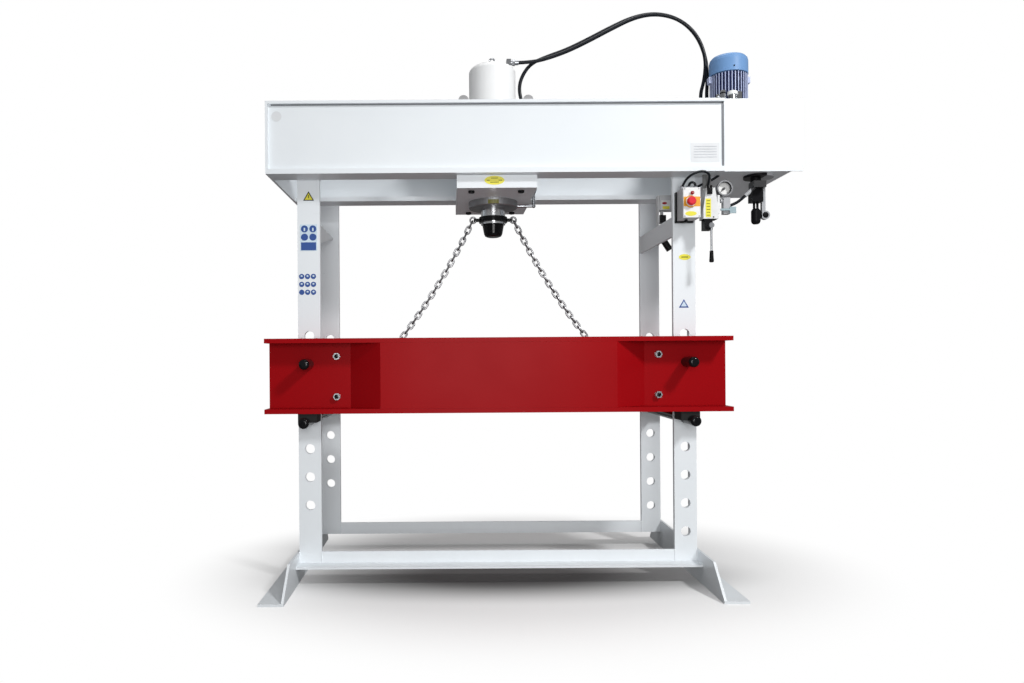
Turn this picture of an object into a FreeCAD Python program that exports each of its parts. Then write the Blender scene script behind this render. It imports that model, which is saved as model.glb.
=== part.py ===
import FreeCAD
import Part
import math
import os

Vec = FreeCAD.Vector
os.makedirs("parts", exist_ok=True)

# Hydraulic workshop press with a cylinder that rolls sideways under its top beams.
# Millimetres. X runs to the right of the person at the press, Y away from them, Z up.
# Y is zero midway between the frames, X is zero midway between the table's left end
# and the tank's right end, and Z is zero on the floor.

running_gap = 0.3          # between a moving curved face and the one it passes
seat_gap = 0.3             # between a piece and the seat it rests in

# frame
clear_width = 1500.0       # between the uprights
post_width = 95.0
post_plate = 20.0
post_leg = 80.0
post_leg_wall = 12.0
frame_pitch = 545.0        # front uprights' face to rear uprights' face
post_top = 1990.0

# top beams
beam_depth = 110.0
beam_bottom = 1710.0
beam_top = 2010.0
beam_web = 10.0
top_flange = 12.0
bottom_flange = 21.0
beam_left = -943.0
beam_right = 934.0
fascia_recess = 15.0
fascia_plate = 5.0
end_plate = 10.0

# base
rail_bottom = 75.0
rail_height = 56.0
rail_depth = 80.0
rail_wall = 8.0
foot_wall = 10.0
foot_height = 130.0
foot_reach = 100.0
foot_length = 1053.0
foot_taper = 119.0
foot_nose = 12.0

# side ties
tie_bottom = 1462.0
tie_height = 82.0
tie_plate = 12.0
gusset_x = 779.0           # the left tie's inner face
gusset_top = 1551.0
gusset_front = 1438.0
gusset_rear = 1543.0

# pins and their holes
hole_pitch = 120.0
lowest_hole = 207.0
hole_count = 8
pin_diameter = 40.0
pin_hole_clearance = 0.6
pin_head_diameter = 44.0
pin_head_round = 12.0
upper_pin_front = -347.0
lower_pin_front = -367.0
pin_tail = 25.0            # how far a pin passes the rear uprights

# table
table_half = 963.0
table_bottom = 724.0
table_height = 310.0
table_depth = 105.0
table_web = 14.0
table_flange = 19.0
table_stand_off = 5.0      # between the table beams and the uprights
cover_half = 486.0
cover_return = 134.0
cover_plate = 6.0
tie_bolt_x = 678.0
tie_bolt_high = 960.0
tie_bolt_low = 790.0
tie_bolt_diameter = 20.0
tie_nut_height = 16.0
tie_nut_width = 27.0
spacer_diameter = 48.0
spacer_wall = 6.0
pad_reach = 30.0           # beyond the pins' axis, outwards
chain_bar_x = 457.0
chain_bar_z = 985.0

# cylinder carriage
carriage_width = 334.0
carriage_length = 583.0
carriage_plate = 54.0
carriage_gap = 1.0
carriage_bolt_x = 105.0
carriage_bolt_y = 236.0
carriage_bolt_diameter = 22.0
bolt_socket = 12.0
bolt_socket_depth = 14.0
barrel_diameter = 210.0
barrel_wall = 20.0
barrel_top = 2233.0
cap_height = 45.0
cap_shoulder = 4.0
cap_flat_angle = 1.3       # where the dome's ellipse gives way to its flat top, in radians
gland_diameter = 220.0
gland_height = 31.0
gland_spigot = 40.0
seal_width = 8.0
cap_spigot = 25.0
top_port_x = 64.0
top_port_width = 20.0
top_port_rise = 5.0
top_port_end = 118.0
ferrule_diameter = 22.0
side_pipe_x = 186.0
side_pipe_top = 1722.0
side_pipe_diameter = 14.0
roller_diameter = 44.0
roller_width = 16.0
roller_x = 136.0
roller_y = 245.0
axle_diameter = 16.0
hanger_width = 50.0
hanger_plate = 10.0
hanger_y = 196.0

# ram
rod_diameter = 110.0
collar_bottom = 1562.0
collar_height = 23.0
collar_diameter = 128.0
lug_reach = 88.0
lug_width = 34.0
lug_plate = 10.0
lug_hole_x = 78.0
lug_hole_diameter = 14.0
nose_top = 1552.0
nose_seat = 20.0
nose_bottom = 1496.0
nose_diameter = 97.0
nose_tip_diameter = 81.0
nose_round = 14.0
piston_height = 80.0
piston_top_gap = 20.0
seal_height = 8.0

# chains
link_pitch = 27.0
link_wire = 8.0
link_outer_width = 28.0
link_play = 0.6
link_bend_steps = 4
ring_wire = 8.0
lug_ring_radius = 13.0
lug_ring_x = 91.0
chain_sag = 34.0

# power pack
tank_width = 323.0
tank_overhang = 45.0       # how far the front plate passes the tank's right side
tank_wall = 5.0
tank_front_inset = 10.0
tank_depth = 520.0
motor_x = 1051.0
motor_y = -60.0
motor_diameter = 165.0
motor_core_diameter = 134.0
motor_wall = 8.0
motor_bottom = 2050.0
motor_body_height = 147.0
rib_count = 36
rib_width = 4.0
fan_cover_height = 85.0
fan_cover_wall = 3.0
shaft_diameter = 24.0
rotor_diameter = 92.0
fan_diameter = 134.0
adapter_diameter = 150.0
pump_diameter = 96.0
pump_height = 120.0
suction_diameter = 26.0

# hoses and cables
hose_diameter = 16.0
hose_front_y = -14.0
hose_rear_y = 14.0
small_hose_diameter = 12.0
hose_tank_x = 947.0
return_tank_x = 985.0
union_height = 40.0
tee_x = 952.0
tee_bottom = 1540.0
tee_port_z = 1576.0
pipe_y = -282.0
small_hose_end_x = 1032.0
small_hose_end_z = 1616.0
small_ferrule_length = 52.0
small_ferrule_slope = 42.0   # degrees above level
cable_diameter = 10.0

# controls
box_width = 70.0
box_depth = 105.0
box_bottom = 1521.0
box_height = 123.0
box_x = 798.0
box_wall = 4.0
cover_thick = 12.0
button_x = 792.0
button_diameter = 36.0
button_travel = 6.0
button_collar_diameter = 44.0
button_stem = 12.0
button_z = 1586.0
lamp_z = 1621.0
rear_switch_y = 62.0
rear_switch_z = 1622.0
rear_switch_width = 72.0
rear_switch_height = 68.0
rear_strip = 6.0
rear_block_z = 1566.0
rear_block_height = 34.0
rear_knob_z = 1484.0
rear_knob_diameter = 30.0
cable_y = -270.0
valve_x = 881.0
valve_width = 62.0
valve_top_width = 35.0
valve_straight = 44.0
valve_depth = 52.0
valve_bottom = 1518.0
valve_top = 1646.0
lever_pin_diameter = 10.0
lever_length = 150.0
hub_diameter = 22.0
grip_length = 44.0
pipe_z = 1596.0
wing_z = 1556.0
wing_stem = 8.0
outlet_x = 1096.0
outlet_y = -235.0
outlet_flange = 10.0
flange_diameter = 121.0
flange_offset = 12.0
outlet_width = 46.0
outlet_neck = 1650.0
outlet_neck_diameter = 42.0
outlet_low = 1598.0
outlet_ball_top = 1571.0
outlet_ball_bottom = 1507.0
outlet_ball_diameter = 38.0
elbow_height = 27.0
eye_reach = 38.0           # from the outlet's axis to the eye
eye_z = 1544.0
eye_diameter = 37.0
eye_bore = 26.0
link_top = 1660.0
gauge_diameter = 64.0
gauge_depth = 34.0
gauge_x = 941.5
gauge_z = 1645.0

# places worked out from the sizes above
half_clear = clear_width / 2
post_outer = half_clear + post_width
half_depth = (frame_pitch + beam_depth) / 2
front_face = half_depth - frame_pitch     # front uprights' front face, negative
rear_face = half_depth
beam_back_front = front_face
beam_back_rear = rear_face
tank_left = beam_right
tank_right = tank_left + tank_width
press_x = (table_half - tank_right) / 2
table_top = table_bottom + table_height
hole_radius = pin_diameter / 2 + pin_hole_clearance
pin_x = half_clear + post_width / 2
upper_pin_z = lowest_hole + 6 * hole_pitch
lower_pin_z = lowest_hole + 4 * hole_pitch
carriage_top = beam_bottom - carriage_gap
carriage_bottom = carriage_top - carriage_plate
bore_radius = barrel_diameter / 2 - barrel_wall
rod_radius = rod_diameter / 2
gland_bottom = carriage_bottom - gland_height
tank_front = -half_depth + tank_front_inset
lug_z = collar_bottom + collar_height / 2
cap_top = barrel_top + cap_height
top_port_z = cap_top + top_port_rise
box_top = box_bottom + box_height


def box(x0, x1, y0, y1, z0, z1):
    return Part.makeBox(x1 - x0, y1 - y0, z1 - z0, Vec(x0, y0, z0))


def rod(x, y, z, diameter, length, direction=Vec(0, 0, 1)):
    return Part.makeCylinder(diameter / 2, length, Vec(x, y, z), direction)


def ring(x, y, z, outer, inner, length, direction=Vec(0, 0, 1)):
    return rod(x, y, z, outer, length, direction).cut(rod(x, y, z, inner, length, direction))


def prism(points, direction):
    wire = Part.makePolygon(points + [points[0]])
    return Part.Face(wire).extrude(direction)


def turned(profile, x, y):
    """A closed outline of (radius, height) pairs turned about a vertical line."""
    points = [Vec(x + r, y, z) for r, z in profile]
    face = Part.Face(Part.makePolygon(points + [points[0]]))
    return face.revolve(Vec(x, y, 0), Vec(0, 0, 1), 360)


def turned_forward(profile, x, y, z):
    """A closed outline of (radius, reach) pairs turned about a line that points to the front."""
    points = [Vec(x + r, y - reach, z) for r, reach in profile]
    face = Part.Face(Part.makePolygon(points + [points[0]]))
    return face.revolve(Vec(x, y, z), Vec(0, -1, 0), 360)


def mirrored(shape):
    return shape.mirror(Vec(0, 0, 0), Vec(1, 0, 0))


def joined(first, *others):
    return first.fuse(list(others)).removeSplitter()


def save(name, *solids):
    shape = solids[0] if len(solids) == 1 else Part.makeCompound(list(solids))
    moved = shape.copy()
    moved.translate(Vec(press_x, 0, 0))
    moved.exportStep("parts/" + name + ".step")
    volume = sum(s.Volume for s in moved.Solids)
    print(name, len(moved.Solids), "solids", round(volume / 1000.0, 1), "cm3", moved.isValid())


# uprights, each an angle: a plate that faces the front and a leg along its outer edge

def upright(face, skip_lowest):
    plate = box(half_clear, post_outer, face, face + post_plate, rail_bottom, post_top)
    leg = box(post_outer - post_leg_wall, post_outer, face, face + post_leg, rail_bottom, post_top)
    shape = joined(plate, leg)
    for n in range(1 if skip_lowest else 0, hole_count):
        height = lowest_hole + n * hole_pitch
        shape = shape.cut(rod(pin_x, face - 1, height, 2 * hole_radius, post_plate + 2, Vec(0, 1, 0)))
    return shape


def build_uprights():
    for label, face in (("front", front_face), ("rear", rear_face)):
        save(label + "_upright_right", upright(face, False))
        save(label + "_upright_left", mirrored(upright(face, True)))


# top beams: channels that open to the front

def channel(left, right, back, depth, bottom, top, web, low_flange, high_flange):
    body = box(left, right, back - web, back, bottom, top)
    low = box(left, right, back - depth, back, bottom, bottom + low_flange)
    high = box(left, right, back - depth, back, top - high_flange, top)
    return joined(body, low, high)


def build_top_beams():
    front = channel(beam_left, beam_right, beam_back_front, beam_depth, beam_bottom, beam_top,
                    beam_web, bottom_flange, top_flange)
    rear = channel(beam_left, beam_right, beam_back_rear, beam_depth, beam_bottom, beam_top,
                   beam_web, bottom_flange, top_flange)
    save("front_top_beam", front)
    save("rear_top_beam", rear)
    panel_front = -half_depth + fascia_recess
    save("front_fascia", box(beam_left, beam_right, panel_front, panel_front + fascia_plate,
                             beam_bottom + bottom_flange, beam_top - top_flange))
    save("beam_end_plate", box(beam_left - end_plate, beam_left, -half_depth, rear_face,
                               beam_bottom, beam_top))


def build_base():
    low = rail_bottom
    high = rail_bottom + rail_height
    front = joined(box(-half_clear, half_clear, front_face, front_face + rail_wall, low, high),
                   box(-half_clear, half_clear, front_face + rail_wall - rail_depth,
                       front_face + rail_wall, low, low + rail_wall),
                   box(-post_outer, post_outer, front_face + rail_wall - rail_depth, front_face,
                       low, low + rail_wall))
    rear = joined(box(-half_clear, half_clear, rear_face, rear_face + rail_wall, low, high),
                  box(-half_clear, half_clear, rear_face, rear_face + rail_depth, low, low + rail_wall),
                  box(post_leg_wall - post_outer, post_outer - post_leg_wall, rear_face + post_plate,
                      rear_face + rail_depth, low, low + rail_wall))
    save("front_base_rail", front)
    save("rear_base_rail", rear)

    # a foot is an angle along Y whose standing leg slopes down to a short nose at both ends
    half = foot_length / 2
    flat = half - foot_taper
    outline = [Vec(post_outer, -half, 0), Vec(post_outer, -half, foot_nose),
               Vec(post_outer, -flat, foot_height), Vec(post_outer, flat, foot_height),
               Vec(post_outer, half, foot_nose), Vec(post_outer, half, 0)]
    standing = prism(outline, Vec(foot_wall, 0, 0))
    lying = box(post_outer, post_outer + foot_reach, -half, half, 0, foot_wall)
    foot = joined(standing, lying)
    save("right_foot", foot)
    save("left_foot", mirrored(foot))


def build_side_ties():
    front = front_face + post_plate
    right = box(half_clear, half_clear + tie_plate, front, rear_face, tie_bottom, tie_bottom + tie_height)
    save("right_side_tie", right)
    # the left tie is a plate inside the uprights whose lower edge rises to the rear
    outline = [Vec(gusset_x, front, gusset_front), Vec(gusset_x, front, gusset_top),
               Vec(gusset_x, rear_face, gusset_top), Vec(gusset_x, rear_face, gusset_rear)]
    save("left_side_tie", mirrored(prism(outline, Vec(tie_plate, 0, 0))))


build_uprights()
build_top_beams()
build_base()
build_side_ties()


# table: two channels that open to the front, joined by spacer tubes with tie bolts through them

table_back_front = front_face - table_stand_off
table_back_rear = rear_face - table_stand_off
bolt_places = [(side * tie_bolt_x, height) for side in (-1, 1) for height in (tie_bolt_low, tie_bolt_high)]
bar_places = [(side * chain_bar_x, chain_bar_z) for side in (-1, 1)]


def table_beam(back):
    beam = channel(-table_half, table_half, back, table_depth, table_bottom, table_top,
                   table_web, table_flange, table_flange)
    for x, z in bolt_places + bar_places:
        beam = beam.cut(rod(x, back - table_web - 1, z, tie_bolt_diameter + 1, table_web + 2, Vec(0, 1, 0)))
    for side in (-1, 1):
        beam = beam.cut(rod(side * pin_x, back - table_web - 1, upper_pin_z, 2 * hole_radius,
                            table_web + 2, Vec(0, 1, 0)))
    return beam


def build_table():
    save("table_front_beam", table_beam(table_back_front))
    save("table_rear_beam", table_beam(table_back_rear))

    # the cover's outline seen from above, its slanted returns reaching the web
    front = table_back_front - table_depth
    web_face = table_back_front - table_web - seat_gap
    low = table_bottom + table_flange + seat_gap
    high = table_top - table_flange - seat_gap
    outer = cover_half + cover_return
    points = [Vec(-outer, web_face, low), Vec(-cover_half, front, low), Vec(cover_half, front, low),
              Vec(outer, web_face, low), Vec(outer - cover_plate * 1.6, web_face, low),
              Vec(cover_half - cover_plate * 0.6, front + cover_plate, low),
              Vec(-cover_half + cover_plate * 0.6, front + cover_plate, low),
              Vec(-outer + cover_plate * 1.6, web_face, low)]
    save("table_cover", prism(points, Vec(0, 0, high - low)))

    gap_front = table_back_front
    gap_rear = table_back_rear - table_depth
    rear_web = table_back_rear - table_web
    tubes = []
    bolts = []
    for x, z in bolt_places + bar_places:
        tubes.append(ring(x, gap_front, z, spacer_diameter, spacer_diameter - 2 * spacer_wall,
                          rear_web - gap_front, Vec(0, 1, 0)))
        head_y = gap_front - table_web - tie_nut_height
        shank = rod(x, head_y, z, tie_bolt_diameter, rear_web + table_web + tie_nut_height - head_y,
                    Vec(0, 1, 0))
        bolts.append(joined(shank, hexagon(x, head_y, z, tie_nut_width, tie_nut_height),
                            hexagon(x, rear_web + table_web, z, tie_nut_width, tie_nut_height)))
    save("table_spacers", *tubes)
    save("table_tie_bolts", *bolts)

    # pads that fill the space between the lower pins and the table
    pads = []
    for side in (-1, 1):
        for near, far in ((table_back_front - table_depth + 10, gap_front),
                          (gap_rear + 10, table_back_rear)):
            x0, x1 = sorted((side * half_clear, side * (pin_x + pad_reach)))
            block = box(x0, x1, near, far, lower_pin_z, table_bottom)
            groove = rod(side * pin_x, near - 1, lower_pin_z, pin_diameter + 2 * seat_gap,
                         far - near + 2, Vec(0, 1, 0))
            pads.append(block.cut(groove))
    save("table_pads", *pads)


def hexagon(x, y, z, across_flats, length):
    radius = across_flats / math.sqrt(3)
    points = [Vec(x + radius * math.cos(a), y, z + radius * math.sin(a))
              for a in (math.pi * n / 3 for n in range(6))]
    return prism(points, Vec(0, length, 0))


def upright_hexagon(x, y, z, across_flats, length):
    radius = across_flats / math.sqrt(3)
    points = [Vec(x + radius * math.cos(a), y + radius * math.sin(a), z)
              for a in (math.pi * n / 3 for n in range(6))]
    return prism(points, Vec(0, 0, length))


def locking_pin(side, height, head_front, head_back):
    far = rear_face + post_plate + pin_tail
    shank = rod(side * pin_x, head_back, height, pin_diameter, far - head_back, Vec(0, 1, 0))
    head = rod(side * pin_x, head_front, height, pin_head_diameter, head_back - head_front, Vec(0, 1, 0))
    nearest = min(head.Edges, key=lambda edge: edge.CenterOfMass.y)
    return joined(shank.makeChamfer(3, [shank.Edges[0]]), head.makeFillet(pin_head_round, [nearest]))


def build_pins():
    upper_back = table_back_front - table_web - running_gap
    lower_back = table_back_front - table_depth + 5
    for side, label in ((-1, "left"), (1, "right")):
        save("upper_" + label + "_pin", locking_pin(side, upper_pin_z, upper_pin_front, upper_back))
        save("lower_" + label + "_pin", locking_pin(side, lower_pin_z, lower_pin_front, lower_back))


build_table()
build_pins()


# cylinder carriage, which hangs from rollers on the beams and bears up against their undersides

def build_carriage():
    half_w = carriage_width / 2
    half_l = carriage_length / 2
    plate = box(-half_w, half_w, -half_l, half_l, carriage_bottom, carriage_top)
    plate = plate.cut(rod(0, 0, carriage_bottom - 1, barrel_diameter + 2 * seat_gap, carriage_plate + 2))
    corners = [(sx * carriage_bolt_x, sy * carriage_bolt_y) for sx in (-1, 1) for sy in (-1, 1)]
    bolts = []
    for x, y in corners:
        plate = plate.cut(rod(x, y, carriage_bottom - 1, carriage_bolt_diameter + 1, carriage_plate + 2))
        shank = rod(x, y, carriage_bottom, carriage_bolt_diameter, carriage_plate)
        bolts.append(shank.cut(upright_hexagon(x, y, carriage_bottom, bolt_socket, bolt_socket_depth)))
    save("carriage_plate", plate)
    save("carriage_bolts", *bolts)

    save("cylinder_barrel", ring(0, 0, carriage_bottom, barrel_diameter, 2 * bore_radius,
                                 barrel_top - carriage_bottom))
    outer = barrel_diameter / 2
    spigot = bore_radius - seat_gap
    base_z = barrel_top + cap_shoulder
    rise = (cap_top - base_z) / math.sin(cap_flat_angle)
    dome = Part.Ellipse(Vec(outer, 0, base_z), Vec(0, 0, base_z + rise), Vec(0, 0, base_z))
    crown = Part.ArcOfEllipse(dome, 0, cap_flat_angle).toShape()
    rest = Part.makePolygon([Vec(outer * math.cos(cap_flat_angle), 0, cap_top), Vec(0, 0, cap_top),
                             Vec(0, 0, barrel_top - cap_spigot),
                             Vec(spigot, 0, barrel_top - cap_spigot), Vec(spigot, 0, barrel_top),
                             Vec(outer, 0, barrel_top), Vec(outer, 0, base_z)])
    cap = Part.Face(Part.Wire([crown] + rest.Edges)).revolve(Vec(0, 0, 0), Vec(0, 0, 1), 360)
    save("cylinder_cap", cap)
    wall = rod_radius + running_gap
    groove = wall + seal_width
    low = gland_bottom + gland_height / 2 - seal_height / 2
    save("rod_gland", turned([(wall, gland_bottom), (gland_diameter / 2 - 4, gland_bottom),
                              (gland_diameter / 2, gland_bottom + 4), (gland_diameter / 2, carriage_bottom),
                              (spigot, carriage_bottom), (spigot, carriage_bottom + gland_spigot),
                              (wall, carriage_bottom + gland_spigot), (wall, low + seal_height),
                              (groove, low + seal_height), (groove, low), (wall, low)], 0, 0))
    save("rod_seals", ring(0, 0, low + seat_gap, 2 * (groove - seat_gap), 2 * wall,
                           seal_height - 2 * seat_gap))

    # hose elbow and lifting eye on the cap, and a pipe that comes up beside the plate from the gland
    low = top_port_z - ferrule_diameter
    high = top_port_z + ferrule_diameter / 2 + 2
    elbow = box(top_port_x, top_port_x + top_port_width, hose_front_y - 13, hose_front_y + 13, low, high)
    ferrule = rod(top_port_x + top_port_width, hose_front_y, top_port_z, ferrule_diameter,
                  top_port_end - top_port_x - top_port_width, Vec(1, 0, 0))
    eye = joined(rod(0, 0, cap_top, 18, 9), Part.makeTorus(11, 4, Vec(0, 0, cap_top + 18), Vec(0, 1, 0)))
    pipe_z = gland_bottom + gland_height / 2
    upright_pipe = rod(side_pipe_x, hose_rear_y, pipe_z, side_pipe_diameter, side_pipe_top - pipe_z)
    union = rod(side_pipe_x, hose_rear_y, side_pipe_top - 24, ferrule_diameter, 24)
    level_pipe = rod(outer - 5, hose_rear_y, pipe_z, side_pipe_diameter, side_pipe_x - outer + 5,
                     Vec(1, 0, 0))
    corner = Part.makeSphere(side_pipe_diameter / 2 + 2, Vec(side_pipe_x, hose_rear_y, pipe_z))
    port = joined(upright_pipe, union, level_pipe, corner)
    port = port.cut(rod(0, 0, gland_bottom - 1, gland_diameter, gland_height + 2))
    save("cylinder_fittings", joined(elbow, ferrule).cut(cap), eye, port)

    # hangers stand on the plate between the beams and carry the roller axles over them
    axle_z = beam_top + roller_diameter / 2 + seat_gap
    hangers = []
    for sx in (-1, 1):
        for sy in (-1, 1):
            y0, y1 = sorted((sy * hanger_y, sy * (hanger_y - hanger_plate)))
            strap = box(sx * roller_x - hanger_width / 2, sx * roller_x + hanger_width / 2, y0, y1,
                        carriage_top, axle_z)
            eye_end = rod(sx * roller_x, y0, axle_z, hanger_width, hanger_plate, Vec(0, 1, 0))
            bore = rod(sx * roller_x, y0 - 1, axle_z, axle_diameter + 2 * running_gap, hanger_plate + 2,
                       Vec(0, 1, 0))
            hangers.append(joined(strap, eye_end).cut(bore))
    save("carriage_hangers", *hangers)
    for sx, label in ((-1, "left"), (1, "right")):
        reach = roller_y + roller_width / 2
        axle = rod(sx * roller_x, -reach, axle_z, axle_diameter, 2 * reach, Vec(0, 1, 0))
        rollers = [rod(sx * roller_x, sy * roller_y - roller_width / 2, axle_z, roller_diameter,
                       roller_width, Vec(0, 1, 0)) for sy in (-1, 1)]
        save(label + "_roller_set", joined(axle, *rollers))


# ram: rod with its piston, and the collar, nose and chains that go down with it

def build_ram():
    piston_top = barrel_top - cap_spigot - piston_top_gap
    piston_bottom = piston_top - piston_height
    stem = rod_radius * 0.6
    shaft = turned([(0, nose_bottom + nose_seat), (stem, nose_bottom + nose_seat), (stem, nose_top),
                    (rod_radius, nose_top), (rod_radius, piston_bottom), (stem, piston_bottom),
                    (stem, piston_top), (0, piston_top)], 0, 0)
    save("ram_rod", shaft)
    save("piston", ring(0, 0, piston_bottom, 2 * (bore_radius - running_gap), 2 * stem, piston_height))

    # the collar is clamped round the rod; a lug stands out at each side for a chain ring
    collar = rod(0, 0, collar_bottom, collar_diameter, collar_height)
    tab_low = lug_z - lug_plate / 2
    for side in (-1, 1):
        x0, x1 = sorted((0.0, side * lug_reach))
        collar = collar.fuse(box(x0, x1, -lug_width / 2, lug_width / 2, tab_low, tab_low + lug_plate))
        collar = collar.cut(rod(side * lug_hole_x, 0, tab_low - 1, lug_hole_diameter, lug_plate + 2))
    collar = collar.cut(rod(0, 0, collar_bottom - 1, rod_diameter + 0.02, collar_height + 2))
    save("ram_collar", collar.removeSplitter())

    outer = nose_diameter / 2
    tip = nose_tip_diameter / 2
    bend = nose_round * 0.3
    save("ram_nose", turned([(0, nose_bottom), (tip - nose_round, nose_bottom),
                             (tip - bend, nose_bottom + bend), (tip + 1, nose_bottom + nose_round),
                             (outer, nose_top - 4), (outer - 4, nose_top), (stem, nose_top),
                             (stem, nose_bottom + nose_seat),
                             (0, nose_bottom + nose_seat)], 0, 0))
    chain = lifting_chain()
    save("right_chain", *chain)
    save("left_chain", *[mirrored(link) for link in chain])


def link(start, end, flat):
    """One chain link between two contact points, as a closed loft of small six-sided sections."""
    along = end - start
    pitch = along.Length + link_play
    along.normalize()
    level = Vec(0, 1, 0)
    across = level if flat else along.cross(level)
    normal = along.cross(across)
    middle = (start + end) * 0.5
    bend = (link_outer_width - link_wire) / 2
    straight = (pitch + link_wire) / 2 - bend
    sections = []
    for turn in (1, -1):
        for n in range(link_bend_steps + 1):
            angle = math.pi * (n / link_bend_steps - 0.5)
            outward = along * (turn * math.cos(angle)) + across * (turn * math.sin(angle))
            centre = middle + along * (turn * straight) + outward * bend
            ring_points = [centre + (outward * math.cos(a) + normal * math.sin(a)) * (link_wire / 2)
                           for a in (math.pi * k / 3 for k in range(6))]
            sections.append(Part.makePolygon(ring_points + [ring_points[0]]))
    return Part.makeLoft(sections, True, True, True)


def lifting_chain():
    """Rings and links of the right chain, hanging in a shallow bow between lug and bar."""
    lug_ring = Vec(lug_ring_x, 0, lug_z)
    bar = Vec(chain_bar_x, 0, chain_bar_z)
    down = (bar - lug_ring).normalize()
    bar_ring_inner = spacer_diameter / 2 + link_wire + 2 * seat_gap
    offset = bar_ring_inner - spacer_diameter / 2 - seat_gap
    low_ring = bar - down * offset
    first = lug_ring + down * (lug_ring_radius - ring_wire / 2 - link_play / 2)
    last = low_ring - down * (bar_ring_inner - link_play / 2)
    bow = (first + last) * 0.5 + Vec(-0.6, 0, -1) * chain_sag
    fine = [first * ((1 - t) ** 2) + bow * (2 * t * (1 - t)) + last * (t * t)
            for t in (n / 400.0 for n in range(401))]
    lengths = [0.0]
    for a, b in zip(fine, fine[1:]):
        lengths.append(lengths[-1] + (b - a).Length)
    links = 2 * int(lengths[-1] / link_pitch / 2) + 1
    stations = [fine[min(range(401), key=lambda n: abs(lengths[n] - lengths[-1] * i / links))]
                for i in range(links + 1)]
    print("chain", round(lengths[-1]), "mm,", links, "links")
    solids = [Part.makeTorus(lug_ring_radius, ring_wire / 2, lug_ring, Vec(0, 1, 0)),
              Part.makeTorus(bar_ring_inner + ring_wire / 2, ring_wire / 2, low_ring, Vec(0, 1, 0))]
    for i in range(links):
        solids.append(link(stations[i], stations[i + 1], i % 2 == 0))
    return solids


build_carriage()
build_ram()


# hoses and cables: straight runs joined by arcs that touch them

def tube(name, points, diameter):
    edges = []
    radii = []
    start = points[0]
    for before, corner, after in zip(points, points[1:], points[2:]):
        way_in = (corner - before).normalize()
        way_out = (after - corner).normalize()
        turn = way_in.getAngle(way_out)
        back = 0.45 * min((corner - before).Length, (after - corner).Length)
        radii.append(back / math.tan(turn / 2))
        arc_start = corner - way_in * back
        arc_end = corner + way_out * back
        inward = (way_out - way_in).normalize()
        middle = corner + inward * (radii[-1] / math.cos(turn / 2) - radii[-1])
        edges.append(Part.LineSegment(start, arc_start).toShape())
        edges.append(Part.Arc(arc_start, middle, arc_end).toShape())
        start = arc_end
    edges.append(Part.LineSegment(start, points[-1]).toShape())
    path = Part.Wire(edges)
    section = Part.Wire([Part.makeCircle(diameter / 2, points[0], points[1] - points[0])])
    solid = path.makePipeShell([section], True, True)
    share = solid.Volume / (math.pi * diameter ** 2 / 4 * path.Length)
    print(name, "length", round(path.Length), "volume share", round(share, 4),
          "radii", [round(r) for r in radii])
    return solid


def route(*places):
    return [Vec(x, y, z) for x, y, z in places]


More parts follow.
